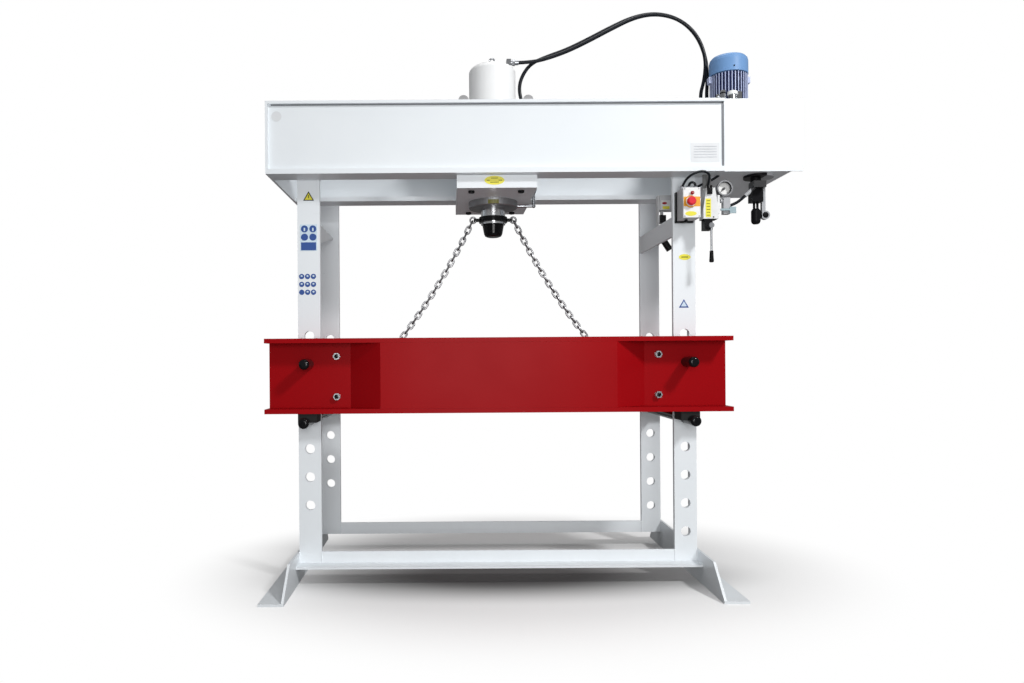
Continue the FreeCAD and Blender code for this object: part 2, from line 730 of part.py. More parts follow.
def build_hoses():
    union_top = beam_top + union_height
    pressure = route((hose_tank_x, hose_front_y, union_top), (936, hose_front_y, 2122),
                     (960, hose_front_y, 2202), (967, hose_front_y, 2304), (927, hose_front_y, 2406),
                     (848, hose_front_y, 2476), (748, hose_front_y, 2501), (648, hose_front_y, 2485),
                     (545, hose_front_y, 2435), (440, hose_front_y, 2380), (340, hose_front_y, 2332),
                     (240, hose_front_y, 2298), (175, hose_front_y, 2285),
                     (top_port_end, hose_front_y, top_port_z))
    back = route((return_tank_x, hose_rear_y, union_top), (977, hose_rear_y, 2126),
                 (983, hose_rear_y, 2208), (978, hose_rear_y, 2308), (936, hose_rear_y, 2416),
                 (855, hose_rear_y, 2490), (750, hose_rear_y, 2517), (645, hose_rear_y, 2500),
                 (540, hose_rear_y, 2452), (436, hose_rear_y, 2398), (338, hose_rear_y, 2351),
                 (248, hose_rear_y, 2320), (178, hose_rear_y, 2290), (138, hose_rear_y, 2236),
                 (122, hose_rear_y, 2180), (133, hose_rear_y, 2115), (168, hose_rear_y, 2045),
                 (182, hose_rear_y, 1960), (187, hose_rear_y, 1870), (185, hose_rear_y, 1790),
                 (side_pipe_x, hose_rear_y, side_pipe_top))
    # an end that meets its fitting at a slant is cut off level with it
    unions = box(hose_tank_x - 20, return_tank_x + 20, hose_front_y - 20, hose_rear_y + 20,
                 beam_top, union_top)
    elbow = box(top_port_end - 20, top_port_end, hose_front_y - 20, hose_front_y + 20,
                top_port_z - 20, top_port_z + 20)
    side_pipe = box(side_pipe_x - 20, side_pipe_x + 20, hose_rear_y - 20, hose_rear_y + 20,
                    side_pipe_top - 20, side_pipe_top)
    save("pressure_hose", tube("pressure_hose", pressure, hose_diameter).cut(unions).cut(elbow))
    save("return_hose", tube("return_hose", back, hose_diameter).cut(unions).cut(side_pipe))
    low = route((tee_x + 16, pipe_y, tee_port_z), (992, pipe_y, 1585), (1013, pipe_y, 1599),
                (small_hose_end_x, pipe_y, small_hose_end_z))
    tee_end = box(tee_x, tee_x + 16, pipe_y - 20, pipe_y + 20, tee_bottom, tee_bottom + 60)
    save("valve_hose", tube("valve_hose", low, small_hose_diameter).cut(tee_end))

    # one cable loops from the switch box to the valve, one back into the box, one goes to the tank
    large_loop = route((770, cable_y, box_top), (771, cable_y - 26, box_top + 24),
                       (790, cable_y - 58, box_top + 50), (830, cable_y - 71, box_top + 64),
                       (864, cable_y - 62, box_top + 58), (880, cable_y - 30, box_top + 40),
                       (valve_x, cable_y - 3, valve_top + 16))
    small_loop = route((796, cable_y - 14, box_top), (797, cable_y - 14, box_top + 16),
                       (805, cable_y - 14, box_top + 30), (819, cable_y - 14, box_top + 30),
                       (827, cable_y - 14, box_top + 16), (828, cable_y - 14, box_top))
    across = route((822, cable_y + 22, box_top), (834, cable_y + 22, box_top + 13),
                   (866, cable_y + 22, box_top + 30), (906, cable_y + 22, box_top + 46),
                   (936, cable_y + 22, beam_bottom))
    level = box(box_x - 40, tank_right, cable_y, cable_y + 40, beam_bottom, beam_bottom + 20)
    lid = box(box_x - 40, box_x + 40, cable_y - 50, cable_y + 40, box_top - 20, box_top)
    socket = rod(valve_x, cable_y, valve_top, 20, 16)
    save("control_cables", tube("large_loop", large_loop, cable_diameter).cut(lid).cut(socket),
         tube("small_loop", small_loop, cable_diameter).cut(lid),
         tube("across", across, cable_diameter).cut(lid).cut(level))


# power pack

def build_tank():
    back = tank_front + tank_depth
    side = tank_right - tank_overhang
    shell = box(tank_left, side, tank_front, back, beam_bottom, beam_top)
    shell = shell.cut(box(tank_left + tank_wall, side - tank_wall, tank_front + tank_wall, back - tank_wall,
                          beam_bottom + tank_wall, beam_top - tank_wall))
    front = box(side - 1, tank_right, tank_front, tank_front + tank_wall, beam_bottom, beam_top)
    shell = joined(shell, front)
    shell = shell.cut(rod(motor_x, motor_y, beam_top - tank_wall - 1, 60, tank_wall + 2))
    unions = [joined(rod(x, y, beam_top, 24, union_height - 12), rod(x, y, beam_top, 18, union_height))
              for x, y in ((hose_tank_x, hose_front_y), (return_tank_x, hose_rear_y))]
    save("tank", shell, *unions)

    # pump and suction pipe hang from the tank's lid
    lid = beam_top - tank_wall
    body = rod(motor_x, motor_y, lid - pump_height, pump_diameter, pump_height)
    suction_foot = beam_bottom + tank_wall + 25
    pipe = rod(motor_x, motor_y, suction_foot, suction_diameter, lid - pump_height - suction_foot)
    bore = rod(motor_x, motor_y, lid - 60, shaft_diameter + 2 * running_gap, 61)
    save("pump", joined(body, pipe).cut(bore))


def build_motor():
    top = motor_bottom + motor_body_height
    hole = shaft_diameter + 2 * running_gap
    adapter = turned([(hole / 2, beam_top), (adapter_diameter / 2, beam_top),
                      (adapter_diameter / 2, beam_top + 10), (adapter_diameter / 2 - 25, beam_top + 10),
                      (adapter_diameter / 2 - 25, motor_bottom - 10),
                      (adapter_diameter / 2, motor_bottom - 10),
                      (adapter_diameter / 2, motor_bottom), (hole / 2, motor_bottom)], motor_x, motor_y)
    save("motor_adapter", adapter)

    # stator housing: a bore for the rotor, an end shield at both ends, cooling ribs outside
    shell = ring(motor_x, motor_y, motor_bottom, motor_core_diameter, hole, motor_body_height)
    room = rod(motor_x, motor_y, motor_bottom + motor_wall, rotor_diameter + 2 * running_gap + 4,
               motor_body_height - 2 * motor_wall)
    shell = shell.cut(room)
    rib_reach = motor_diameter / 2 - 2
    rib = box(motor_core_diameter / 2 - 1, rib_reach, -rib_width / 2, rib_width / 2,
              motor_bottom + 10, top - 4)
    ribs = []
    for n in range(rib_count):
        one = rib.copy()
        one.rotate(Vec(0, 0, 0), Vec(0, 0, 1), 360.0 * n / rib_count)
        one.translate(Vec(motor_x, motor_y, 0))
        ribs.append(one)
    # two lifting lugs at the sides and the foot ring that carries the bolts
    lugs = [box(motor_x + a, motor_x + b, motor_y - 14, motor_y + 14, top - 34, top - 6)
            for a, b in ((-motor_diameter / 2 - 9, -motor_core_diameter / 2 + 1),
                         (motor_core_diameter / 2 - 1, motor_diameter / 2 + 9))]
    foot = ring(motor_x, motor_y, motor_bottom, adapter_diameter, motor_core_diameter - 2, 12)
    save("motor_housing", shell.fuse(ribs + lugs + [foot]))

    outer = motor_diameter / 2
    inner = outer - fan_cover_wall
    cover_top = top + fan_cover_height
    drop = [(0, 28), (3, 15), (11, 6), (24, 1.5), (40, 0)]
    outside = [(outer - a, cover_top - b) for a, b in drop]
    inside = [(inner - a, cover_top - fan_cover_wall - b) for a, b in reversed(drop)]
    middle = [(20, cover_top), (20, cover_top - fan_cover_wall)]
    cover = turned([(inner, top), (outer, top)] + outside + middle + inside, motor_x, motor_y)
    shoulder = ring(motor_x, motor_y, top, 2 * inner, 2 * inner - 34, fan_cover_wall)
    save("fan_cover", joined(cover, shoulder))

    shaft_low = beam_top - tank_wall - 58
    rotor = joined(rod(motor_x, motor_y, shaft_low, shaft_diameter, top + 45 - shaft_low),
                   rod(motor_x, motor_y, motor_bottom + 30, rotor_diameter, motor_body_height - 60))
    hub = rod(motor_x, motor_y, top + 15, 44, 30)
    blades = []
    for n in range(7):
        blade = box(18, fan_diameter / 2, -2, 2, top + 17, top + 43)
        blade.rotate(Vec(0, 0, 0), Vec(0, 0, 1), 360.0 * n / 7)
        blade.translate(Vec(motor_x, motor_y, 0))
        blades.append(blade)
    save("motor_rotor", joined(rotor, hub, *blades))


# controls under the beam's right end

def build_switches():
    front = front_face - box_depth
    x0 = box_x - box_width / 2
    x1 = box_x + box_width / 2
    shell = box(x0, x1, front + cover_thick, front_face, box_bottom, box_top)
    shell = shell.cut(box(x0 + box_wall, x1 - box_wall, front + cover_thick - 1, front_face - box_wall,
                          box_bottom + box_wall, box_top - box_wall))
    # the small rear switch stands on a strip on the outer side of the right tie, its knob below
    strip_x = half_clear + tie_plate
    inner = strip_x + rear_strip
    rear = box(inner, inner + rear_switch_width, rear_switch_y - 25, rear_switch_y + 25,
               rear_switch_z, rear_switch_z + rear_switch_height)
    block = box(inner, inner + 30, rear_switch_y - 22, rear_switch_y + 22,
                rear_block_z, rear_block_z + rear_block_height)
    gland = rod(inner + 16, rear_switch_y, rear_block_z + rear_block_height - 1, 14,
                rear_switch_z - rear_block_z - rear_block_height + 2)
    strip = box(strip_x, inner, rear_switch_y - 15, rear_switch_y + 15,
                tie_bottom, rear_switch_z + rear_switch_height)
    near = rear_switch_y - 16
    bracket = prism([Vec(inner - 1, near, rear_knob_z - 6), Vec(inner - 1, near, rear_knob_z),
                     Vec(inner + 52, near, rear_knob_z + 24), Vec(inner + 52, near, rear_knob_z + 18)],
                    Vec(0, 32, 0))
    knob = rod(inner + 20, rear_switch_y, rear_knob_z + 8, rear_knob_diameter, 60, Vec(0.54, 0, -0.84))
    save("switch_boxes", shell, joined(rear, block, gland, strip, bracket, knob))
    cover = box(x0, x1, front, front + cover_thick, box_bottom, box_top)
    cover = cover.fuse(rod(button_x, front - 4, button_z, button_collar_diameter, 4, Vec(0, 1, 0)))
    cover = cover.fuse(rod(box_x, front - 6, lamp_z, 14, 6, Vec(0, 1, 0)))
    cover = cover.cut(rod(button_x, front - 5, button_z, button_stem + 2 * running_gap, cover_thick + 6,
                          Vec(0, 1, 0)))
    save("switch_cover", cover.removeSplitter())
    head_y = front - 4 - button_travel - 2
    head = turned_forward([(0, 0), (button_diameter / 2, 0), (button_diameter / 2, 7),
                           (button_diameter / 2 - 5, 12), (0, 12)], button_x, head_y, button_z)
    stem = rod(button_x, head_y, button_z, button_stem, 34, Vec(0, 1, 0))
    save("stop_button", joined(head, stem))


build_hoses()
build_tank()
build_motor()
build_switches()


def build_valve():
    x0 = valve_x - valve_width / 2
    x1 = valve_x + valve_width / 2
    near = pipe_y - valve_depth / 2
    far = pipe_y + valve_depth / 2
    half_top = valve_top_width / 2
    slope_z = valve_bottom + valve_straight
    outline = [Vec(x0, near, valve_bottom), Vec(x0, near, slope_z), Vec(valve_x - half_top, near, valve_top),
               Vec(valve_x + half_top, near, valve_top), Vec(x1, near, slope_z), Vec(x1, near, valve_bottom)]
    body = prism(outline, Vec(0, valve_depth, 0))
    step = box(x1 - 1, x1 + 8, near + 6, far - 6, valve_bottom + 22, valve_bottom + 98)
    bracket = box(x0 + 14, x1 - 14, far - 8, far, valve_top - 20, beam_bottom)
    socket = rod(valve_x, cable_y, valve_top - 2, 20, 18)
    block = box(valve_x - 24, valve_x + 8, near + 4, far - 4, valve_bottom - 44, valve_bottom)
    pivot_z = valve_bottom - 28
    pivot_hole = rod(valve_x, near + 3, pivot_z, lever_pin_diameter + 2 * running_gap, 24, Vec(0, 1, 0))
    save("valve_body", joined(body, step, bracket, socket, block).cut(pivot_hole))
    hub_y = near + 4 - 1
    hub = rod(valve_x, hub_y - 12, pivot_z, hub_diameter, 12, Vec(0, 1, 0))
    axle = rod(valve_x, hub_y - 12, pivot_z, lever_pin_diameter, 12 + 20, Vec(0, 1, 0))
    arm = rod(valve_x, hub_y - 6, pivot_z - lever_length, 8, lever_length, Vec(0, 0, 1))
    grip = turned([(0, pivot_z - lever_length - 2), (6, pivot_z - lever_length - 2),
                   (8.5, pivot_z - lever_length + 4), (6.5, pivot_z - lever_length + grip_length),
                   (0, pivot_z - lever_length + grip_length)], valve_x, hub_y - 6)
    save("valve_lever", joined(hub, axle, arm, grip))


def build_gauge():
    # the case is a cup that faces the front, with a rim in front of the dial
    outer = gauge_diameter / 2
    back = pipe_y + 12
    rim = [(0, 0), (outer - 3, 0), (outer - 3, 20), (outer, 20), (outer, gauge_depth),
           (outer - 5, gauge_depth), (outer - 5, 12), (0, 12)]
    cup = turned_forward(rim, gauge_x, back, gauge_z)
    post = rod(gauge_x, back - 12 - 9, gauge_z, 4, 10, Vec(0, 1, 0))
    save("gauge_case", joined(cup, post))
    needle_y = back - 12 - 6
    bar = box(gauge_x - 1.2, gauge_x + 1.2, needle_y - 1, needle_y, gauge_z - 7, gauge_z + outer - 11)
    needle = joined(bar, rod(gauge_x, needle_y - 1.5, gauge_z, 10, 3, Vec(0, 1, 0)))
    needle = needle.cut(rod(gauge_x, needle_y - 4, gauge_z, 4 + 2 * running_gap, 8, Vec(0, 1, 0)))
    needle.rotate(Vec(gauge_x, 0, gauge_z), Vec(0, 1, 0), -135)
    save("gauge_needle", needle)

    # pipe from the valve to the tee below the gauge, and the elbow under the tank
    pipe_start = valve_x + valve_width / 2 + 8
    pipe = rod(pipe_start, pipe_y, pipe_z, 16, tee_x - pipe_start, Vec(1, 0, 0))
    tee = box(tee_x - 14, tee_x + 14, pipe_y - 13, pipe_y + 13, tee_bottom, pipe_z + 12)
    neck = rod(gauge_x, pipe_y, pipe_z + 4, 14, gauge_z - pipe_z - 4)
    neck = neck.cut(rod(gauge_x, back - 20, gauge_z, gauge_diameter - 6 + 2 * seat_gap, 20, Vec(0, 1, 0)))
    foot = rod(tee_x, pipe_y, tee_port_z, 18, 16, Vec(1, 0, 0))
    slope = math.radians(small_ferrule_slope)
    ferrule = rod(small_hose_end_x, pipe_y, small_hose_end_z, 16, small_ferrule_length,
                  Vec(math.cos(slope), 0, math.sin(slope)))
    elbow_low = outlet_neck + 1
    elbow = box(outlet_x - 30, outlet_x + 21, pipe_y - 11, outlet_y, elbow_low, elbow_low + elbow_height)
    elbow = elbow.cut(rod(outlet_x, outlet_y, outlet_neck, outlet_neck_diameter, elbow_height + 2))
    stem_bore = rod(tee_x, pipe_y - 14, wing_z, wing_stem + 2 * running_gap, 20, Vec(0, 1, 0))
    save("pipework", joined(pipe, tee, neck, foot).cut(stem_bore), joined(ferrule, elbow))
    save("outlet_block", outlet_shape())
    wing = joined(rod(tee_x, pipe_y - 24, wing_z, wing_stem, 28, Vec(0, 1, 0)),
                  box(tee_x - 30, tee_x + 20, pipe_y - 24, pipe_y - 19, wing_z - 4, wing_z + 4),
                  box(tee_x + 8, tee_x + 34, pipe_y - 24, pipe_y - 19, wing_z - 15, wing_z + 11))
    save("shutoff_handle", wing)


def outlet_shape():
    """Black flange under the tank with a stem, a lower body and a link with an eye."""
    half = outlet_width / 2
    flange_low = beam_bottom - outlet_flange
    flange = rod(outlet_x + flange_offset, outlet_y, flange_low, flange_diameter, outlet_flange)
    neck = rod(outlet_x, outlet_y, outlet_neck, outlet_neck_diameter, flange_low - outlet_neck)
    body = box(outlet_x - half, outlet_x + half, outlet_y - half, outlet_y + half, outlet_low, outlet_neck)
    stems = [rod(outlet_x + dx, outlet_y, outlet_ball_top - 6, 10, outlet_low - outlet_ball_top + 6)
             for dx in (-7, 7)]
    round_side = outlet_ball_diameter / 2
    ball = turned([(0, outlet_ball_bottom), (round_side - 8, outlet_ball_bottom),
                   (round_side - 3, outlet_ball_bottom + 4), (round_side, outlet_ball_bottom + 12),
                   (round_side, outlet_ball_top - 9), (round_side - 6, outlet_ball_top),
                   (0, outlet_ball_top)], outlet_x, outlet_y)
    eye_x = outlet_x + eye_reach
    bar = box(outlet_x + half - 1, eye_x + 1, outlet_y - 6, outlet_y + 6, eye_z + 4, link_top)
    eye = rod(eye_x, outlet_y - 9, eye_z, eye_diameter, 18, Vec(0, 1, 0))
    arm = joined(bar, eye).cut(rod(eye_x, outlet_y - 10, eye_z, eye_bore, 20, Vec(0, 1, 0)))
    return joined(flange, neck, body, ball, arm, *stems)


build_valve()
build_gauge()
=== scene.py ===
import bpy
import bmesh
import math
from mathutils import Matrix, Vector


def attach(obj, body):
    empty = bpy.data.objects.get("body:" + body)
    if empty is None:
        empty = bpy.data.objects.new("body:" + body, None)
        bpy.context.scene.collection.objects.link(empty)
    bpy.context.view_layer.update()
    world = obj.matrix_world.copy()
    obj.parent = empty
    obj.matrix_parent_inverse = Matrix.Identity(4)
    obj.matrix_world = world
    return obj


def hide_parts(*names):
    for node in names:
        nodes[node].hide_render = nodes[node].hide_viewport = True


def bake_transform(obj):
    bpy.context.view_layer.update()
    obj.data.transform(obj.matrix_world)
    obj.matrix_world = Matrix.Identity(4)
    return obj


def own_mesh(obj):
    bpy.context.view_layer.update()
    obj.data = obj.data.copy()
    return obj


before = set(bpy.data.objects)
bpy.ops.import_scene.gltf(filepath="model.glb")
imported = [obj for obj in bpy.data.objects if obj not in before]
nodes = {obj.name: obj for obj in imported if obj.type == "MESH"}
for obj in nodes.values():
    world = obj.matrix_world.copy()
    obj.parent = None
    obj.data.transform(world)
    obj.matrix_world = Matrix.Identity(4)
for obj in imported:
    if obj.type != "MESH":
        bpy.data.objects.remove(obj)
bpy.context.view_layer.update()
scene = bpy.context.scene
pressX = -0.147  # the press axis in the row frame; every X below is counted from it
motorAxis = (1.051, -0.06)
forwards, upwards, downwards = (0, -1, 0), (0, 0, 1), (0, 0, -1)
quarterX, quarterY = [Matrix.Rotation(math.radians(90), 4, axis) for axis in "XY"]


def place(x, y, z):
    return Vector((x + pressX, y, z))


def newObject(name, data):
    made = bpy.data.objects.new(name, data)
    scene.collection.objects.link(made)
    return made


def takeMesh(bm, name):
    mesh = bpy.data.meshes.new(name)
    bm.to_mesh(mesh)
    bm.free()
    return mesh


# camera

view = {"spot": (-0.349, -3.3625, 0.958), "lens": 26.02, "shiftX": 0.061, "shiftY": 0.0142, "roll": 0.38}

cameraData = bpy.data.cameras.new("camera")
cameraData.lens = view["lens"]
cameraData.sensor_width = 36
cameraData.shift_x = view["shiftX"]
cameraData.shift_y = view["shiftY"]
cameraData.clip_end = 100
camera = newObject("camera", cameraData)
camera.location = view["spot"]
camera.rotation_euler = (math.radians(90), math.radians(view["roll"]), 0)
scene.camera = camera
scene.view_settings.view_transform = "Standard"


# node groups shared by the materials

def setInputs(node, values):
    for label, value in values.items():
        node.inputs[label.replace("_", " ")].default_value = value


def newNode(tree, kind, **values):
    node = tree.nodes.new("ShaderNode" + kind)
    setInputs(node, values)
    return node


def newGroup(name, inputs, outputs):
    group = bpy.data.node_groups.new(name, "ShaderNodeTree")
    for label, value in inputs:
        socket = group.interface.new_socket(label, in_out="INPUT", socket_type="NodeSocketFloat")
        socket.default_value = value
    for label in outputs:
        group.interface.new_socket(label, in_out="OUTPUT", socket_type="NodeSocketFloat")
    return group, group.nodes.new("NodeGroupInput"), group.nodes.new("NodeGroupOutput")


def mathNode(tree, operation, first, second=None, clamp=False):
    node = newNode(tree, "Math")
    node.operation = operation
    node.use_clamp = clamp
    for socket, value in zip(node.inputs, (first, second)):
        if value is None:
            continue
        if isinstance(value, (int, float)):
            socket.default_value = value
        else:
            tree.links.new(value, socket)
    return node.outputs[0]


def times(tree, first, second):
    return mathNode(tree, "MULTIPLY", first, second)


def noiseNode(tree, vector, scale, detail=2.0, rough=0.5):
    node = newNode(tree, "TexNoise", Detail=detail, Roughness=rough)
    if isinstance(scale, (int, float)):
        node.inputs["Scale"].default_value = scale
    else:
        tree.links.new(scale, node.inputs["Scale"])
    tree.links.new(vector, node.inputs["Vector"])
    return node.outputs["Fac"]


def smoothRange(tree, value, low, high):
    node = newNode(tree, "MapRange", From_Min=low, From_Max=high)
    node.interpolation_type = "SMOOTHSTEP"
    tree.links.new(value, node.inputs["Value"])
    return node.outputs["Result"]


def objectPoint(tree):
    return newNode(tree, "TexCoord").outputs["Object"]


coatSettings = {
    "broadScale": 3.2, "stretch": (9.0, 9.0, 55.0), "turn": (0.3, 0.5, 0.1), "streakScale": 2.6,
    "streaks": (0.66, 0.74), "patchScale": 6.0, "patches": (0.52, 0.66), "rougher": 0.07, "smoother": 0.05,
    "bump": 0.12, "depth": 0.0006,
}


def buildCoatGroup():  # the skin of sprayed paint: orange peel, broad tone, rare scuffs
    s = coatSettings
    group, given, out = newGroup("sprayedCoat", [("Peel Scale", 260.0), ("Scuff Amount", 0.5)],
                                 ["Peel", "Tone", "Scuff"])
    point = objectPoint(group)
    peel = noiseNode(group, point, given.outputs["Peel Scale"], 1.0)
    broad = noiseNode(group, point, s["broadScale"], 3.0, 0.55)
    stretch = newNode(group, "Mapping", Scale=s["stretch"], Rotation=s["turn"])
    group.links.new(point, stretch.inputs["Vector"])
    streak = noiseNode(group, stretch.outputs["Vector"], s["streakScale"], 5.0, 0.62)
    patch = noiseNode(group, point, s["patchScale"], 2.0)
    streaks = smoothRange(group, streak, *s["streaks"])
    both = times(group, streaks, smoothRange(group, patch, *s["patches"]))
    group.links.new(peel, out.inputs["Peel"])
    group.links.new(broad, out.inputs["Tone"])
    group.links.new(times(group, both, given.outputs["Scuff Amount"]), out.inputs["Scuff"])
    return group


metalSettings = {
    "squeeze": (0.03, 0.03, 1.0), "cloudScale": 28.0, "speckScale": 420.0, "specks": (0.62, 0.72),
    "speckShare": 0.5, "speckShade": 0.4, "smoother": 0.08, "rougher": 0.12, "depth": 0.0004,
}


def buildMetalGroup():  # bare metal: fine turning or drawing lines and cloudy oxide
    s = metalSettings
    group, given, out = newGroup("bareMetal", [("Line Scale", 900.0)], ["Lines", "Cloud", "Specks"])
    point = objectPoint(group)
    squeeze = newNode(group, "Mapping", Scale=s["squeeze"])
    group.links.new(point, squeeze.inputs["Vector"])
    lines = noiseNode(group, squeeze.outputs["Vector"], given.outputs["Line Scale"], 2.0)
    cloud = noiseNode(group, point, s["cloudScale"], 3.0, 0.6)
    specks = smoothRange(group, noiseNode(group, point, s["speckScale"], 1.0), *s["specks"])
    group.links.new(lines, out.inputs["Lines"])
    group.links.new(cloud, out.inputs["Cloud"])
    group.links.new(specks, out.inputs["Specks"])
    return group


dustSettings = {"scale": 24.0, "patches": (0.35, 0.75), "reach": 0.2, "color": (0.34, 0.33, 0.31)}


def buildDustGroup():  # how near the floor a point is, broken up, for dust on feet and rails
    s = dustSettings
    group, given, out = newGroup("floorDust", [("Reach", 0.25)], ["Dust"])
    point = objectPoint(group)
    parts = newNode(group, "SeparateXYZ")
    group.links.new(point, parts.inputs[0])
    height = mathNode(group, "DIVIDE", parts.outputs["Z"], given.outputs["Reach"])
    near = mathNode(group, "SUBTRACT", 1.0, height, True)
    uneven = smoothRange(group, noiseNode(group, point, s["scale"], 4.0, 0.6), *s["patches"])
    group.links.new(times(group, near, uneven), out.inputs["Dust"])
    return group


coatGroup = buildCoatGroup()
metalGroup = buildMetalGroup()
dustGroup = buildDustGroup()


def addGroup(tree, group, **values):
    node = newNode(tree, "Group")
    node.node_tree = group
    setInputs(node, values)
    return node


def mixColor(tree, factor, first, second):
    node = newNode(tree, "Mix")
    node.data_type = "RGBA"
    sockets = (node.inputs["Factor"], node.inputs["A"], node.inputs["B"])
    for socket, value in zip(sockets, (factor, first, second)):
        if isinstance(value, (int, float)):
            socket.default_value = value
        elif isinstance(value, tuple):
            socket.default_value = (*value, 1.0)
        else:
            tree.links.new(value, socket)
    return node.outputs["Result"]


def mixNumber(tree, factor, first, second):
    node = newNode(tree, "Mix", A=first, B=second)
    tree.links.new(factor, node.inputs["Factor"])
    return node.outputs["Result"]


def newMaterial(name, color, roughness, metallic=0.0, gloss=0.5):
    material = bpy.data.materials.new(name)
    material.use_nodes = True
    shader = material.node_tree.nodes["Principled BSDF"]
    setInputs(shader, {"Base Color": (*color, 1.0), "Roughness": roughness, "Metallic": metallic,
                       "Specular IOR Level": gloss})
    return material, material.node_tree, shader


def bumpInto(tree, shader, height, strength, distance):
    bump = newNode(tree, "Bump", Strength=strength, Distance=distance)
    tree.links.new(height, bump.inputs["Height"])
    tree.links.new(bump.outputs["Normal"], shader.inputs["Normal"])


def paintMaterial(name, light, dark, scuffColor, roughness, peelScale=260.0, scuffs=0.5, dust=0.0, gloss=0.5):
    s = coatSettings
    material, tree, shader = newMaterial(name, light, roughness, gloss=gloss)
    coat = addGroup(tree, coatGroup, Peel_Scale=peelScale, Scuff_Amount=scuffs)
    color = mixColor(tree, coat.outputs["Tone"], dark, light)
    color = mixColor(tree, coat.outputs["Scuff"], color, scuffColor)
    if dust:
        floorDust = addGroup(tree, dustGroup, Reach=dustSettings["reach"])
        share = times(tree, floorDust.outputs["Dust"], dust)
        color = mixColor(tree, share, color, dustSettings["color"])
    tree.links.new(color, shader.inputs["Base Color"])
    rough = mixNumber(tree, coat.outputs["Tone"], roughness + s["rougher"], roughness - s["smoother"])
    tree.links.new(rough, shader.inputs["Roughness"])
    bumpInto(tree, shader, coat.outputs["Peel"], s["bump"], s["depth"])
    return material


def metalMaterial(name, bright, dull, roughness, lineScale=900.0, lineDepth=0.25):
    s = metalSettings
    material, tree, shader = newMaterial(name, bright, roughness, 1.0)
    metal = addGroup(tree, metalGroup, Line_Scale=lineScale)
    color = mixColor(tree, metal.outputs["Cloud"], bright, dull)
    share = times(tree, metal.outputs["Specks"], s["speckShare"])
    color = mixColor(tree, share, color, tuple(s["speckShade"] * c for c in dull))
    tree.links.new(color, shader.inputs["Base Color"])
    rough = mixNumber(tree, metal.outputs["Cloud"], roughness - s["smoother"], roughness + s["rougher"])
    tree.links.new(rough, shader.inputs["Roughness"])
    bumpInto(tree, shader, metal.outputs["Lines"], lineDepth, s["depth"])
    return material


plasticSettings = {
    "toneScale": 16.0, "shade": 0.86, "smoother": 0.06, "rougher": 0.08, "bump": 0.15, "depth": 0.0003,
}


def plasticMaterial(name, color, roughness, grainScale=1400.0, gloss=0.5):
    s = plasticSettings
    material, tree, shader = newMaterial(name, color, roughness, gloss=gloss)
    point = objectPoint(tree)
    grain = noiseNode(tree, point, grainScale, 2.0)
    tone = noiseNode(tree, point, s["toneScale"], 3.0)
    shade = tuple(c * s["shade"] for c in color)
    tree.links.new(mixColor(tree, tone, shade, color), shader.inputs["Base Color"])
    rough = mixNumber(tree, tone, roughness - s["smoother"], roughness + s["rougher"])
    tree.links.new(rough, shader.inputs["Roughness"])
    bumpInto(tree, shader, grain, s["bump"], s["depth"])
    return material


# each paint is light and dark tone, scuff colour and roughness; each metal is bright and dull

whitePaint = paintMaterial("whitePaint", (0.8, 0.835, 0.86), (0.735, 0.775, 0.81), (0.52, 0.54, 0.56), 0.34,
                           dust=0.05)
redPaint = paintMaterial("redPaint", (0.33, 0.0035, 0.006), (0.27, 0.0025, 0.005), (0.34, 0.012, 0.014), 0.3,
                         300.0, 0.2, gloss=0.04)
creamPaint = paintMaterial("creamPaint", (0.86, 0.865, 0.86), (0.78, 0.79, 0.8), (0.58, 0.58, 0.57), 0.32)
motorPaint = paintMaterial("motorPaint", (0.17, 0.32, 0.58), (0.11, 0.23, 0.45), (0.4, 0.5, 0.62), 0.42,
                           420.0, gloss=0.25)
blackSteel = paintMaterial("blackSteel", (0.006, 0.006, 0.007), (0.003, 0.003, 0.004), (0.05, 0.05, 0.05),
                           0.13, 700.0, 0.2, gloss=0.2)
brightSteel = metalMaterial("brightSteel", (0.6, 0.6, 0.61), (0.42, 0.42, 0.43), 0.32)
zincPlate = metalMaterial("zincPlate", (0.5, 0.51, 0.53), (0.26, 0.27, 0.29), 0.26, 500.0, 0.12)
chromePlate = metalMaterial("chromePlate", (0.78, 0.79, 0.81), (0.68, 0.69, 0.71), 0.14, 1500.0, 0.05)
castMetal = metalMaterial("castMetal", (0.4, 0.41, 0.42), (0.28, 0.28, 0.29), 0.5, 200.0)
chainSteel = metalMaterial("chainSteel", (0.4, 0.4, 0.41), (0.16, 0.16, 0.17), 0.32, 700.0, 0.1)
caseSteel = metalMaterial("caseSteel", (0.34, 0.345, 0.36), (0.22, 0.225, 0.235), 0.34, 500.0, 0.1)
hoseRubber = plasticMaterial("hoseRubber", (0.006, 0.008, 0.012), 0.34, 900.0, 0.22)
sealRubber = plasticMaterial("sealRubber", (0.012, 0.012, 0.012), 0.6, gloss=0.2)
boxPlastic = plasticMaterial("boxPlastic", (0.34, 0.35, 0.38), 0.45)
coverPlastic = plasticMaterial("coverPlastic", (0.83, 0.84, 0.84), 0.34)
tealPlastic = plasticMaterial("tealPlastic", (0.33, 0.43, 0.47), 0.3)
buttonRed = plasticMaterial("buttonRed", (0.72, 0.018, 0.04), 0.28)
lampRed = plasticMaterial("lampRed", (0.35, 0.01, 0.02), 0.2)
collarYellow = plasticMaterial("collarYellow", (0.8, 0.36, 0.02), 0.38)
gripBlack = plasticMaterial("gripBlack", (0.006, 0.006, 0.007), 0.34, gloss=0.1)
# the grey of the front plate's seams, which paints the shade in their gaps
seamShadeGrey = plasticMaterial("seamShadeGrey", (0.22, 0.23, 0.25), 0.5, gloss=0.2)
dialWhite = plasticMaterial("dialWhite", (0.88, 0.88, 0.87), 0.4)
labelYellow = plasticMaterial("labelYellow", (0.83, 0.76, 0.06), 0.35)
labelBlue = plasticMaterial("labelBlue", (0.014, 0.07, 0.3), 0.35)
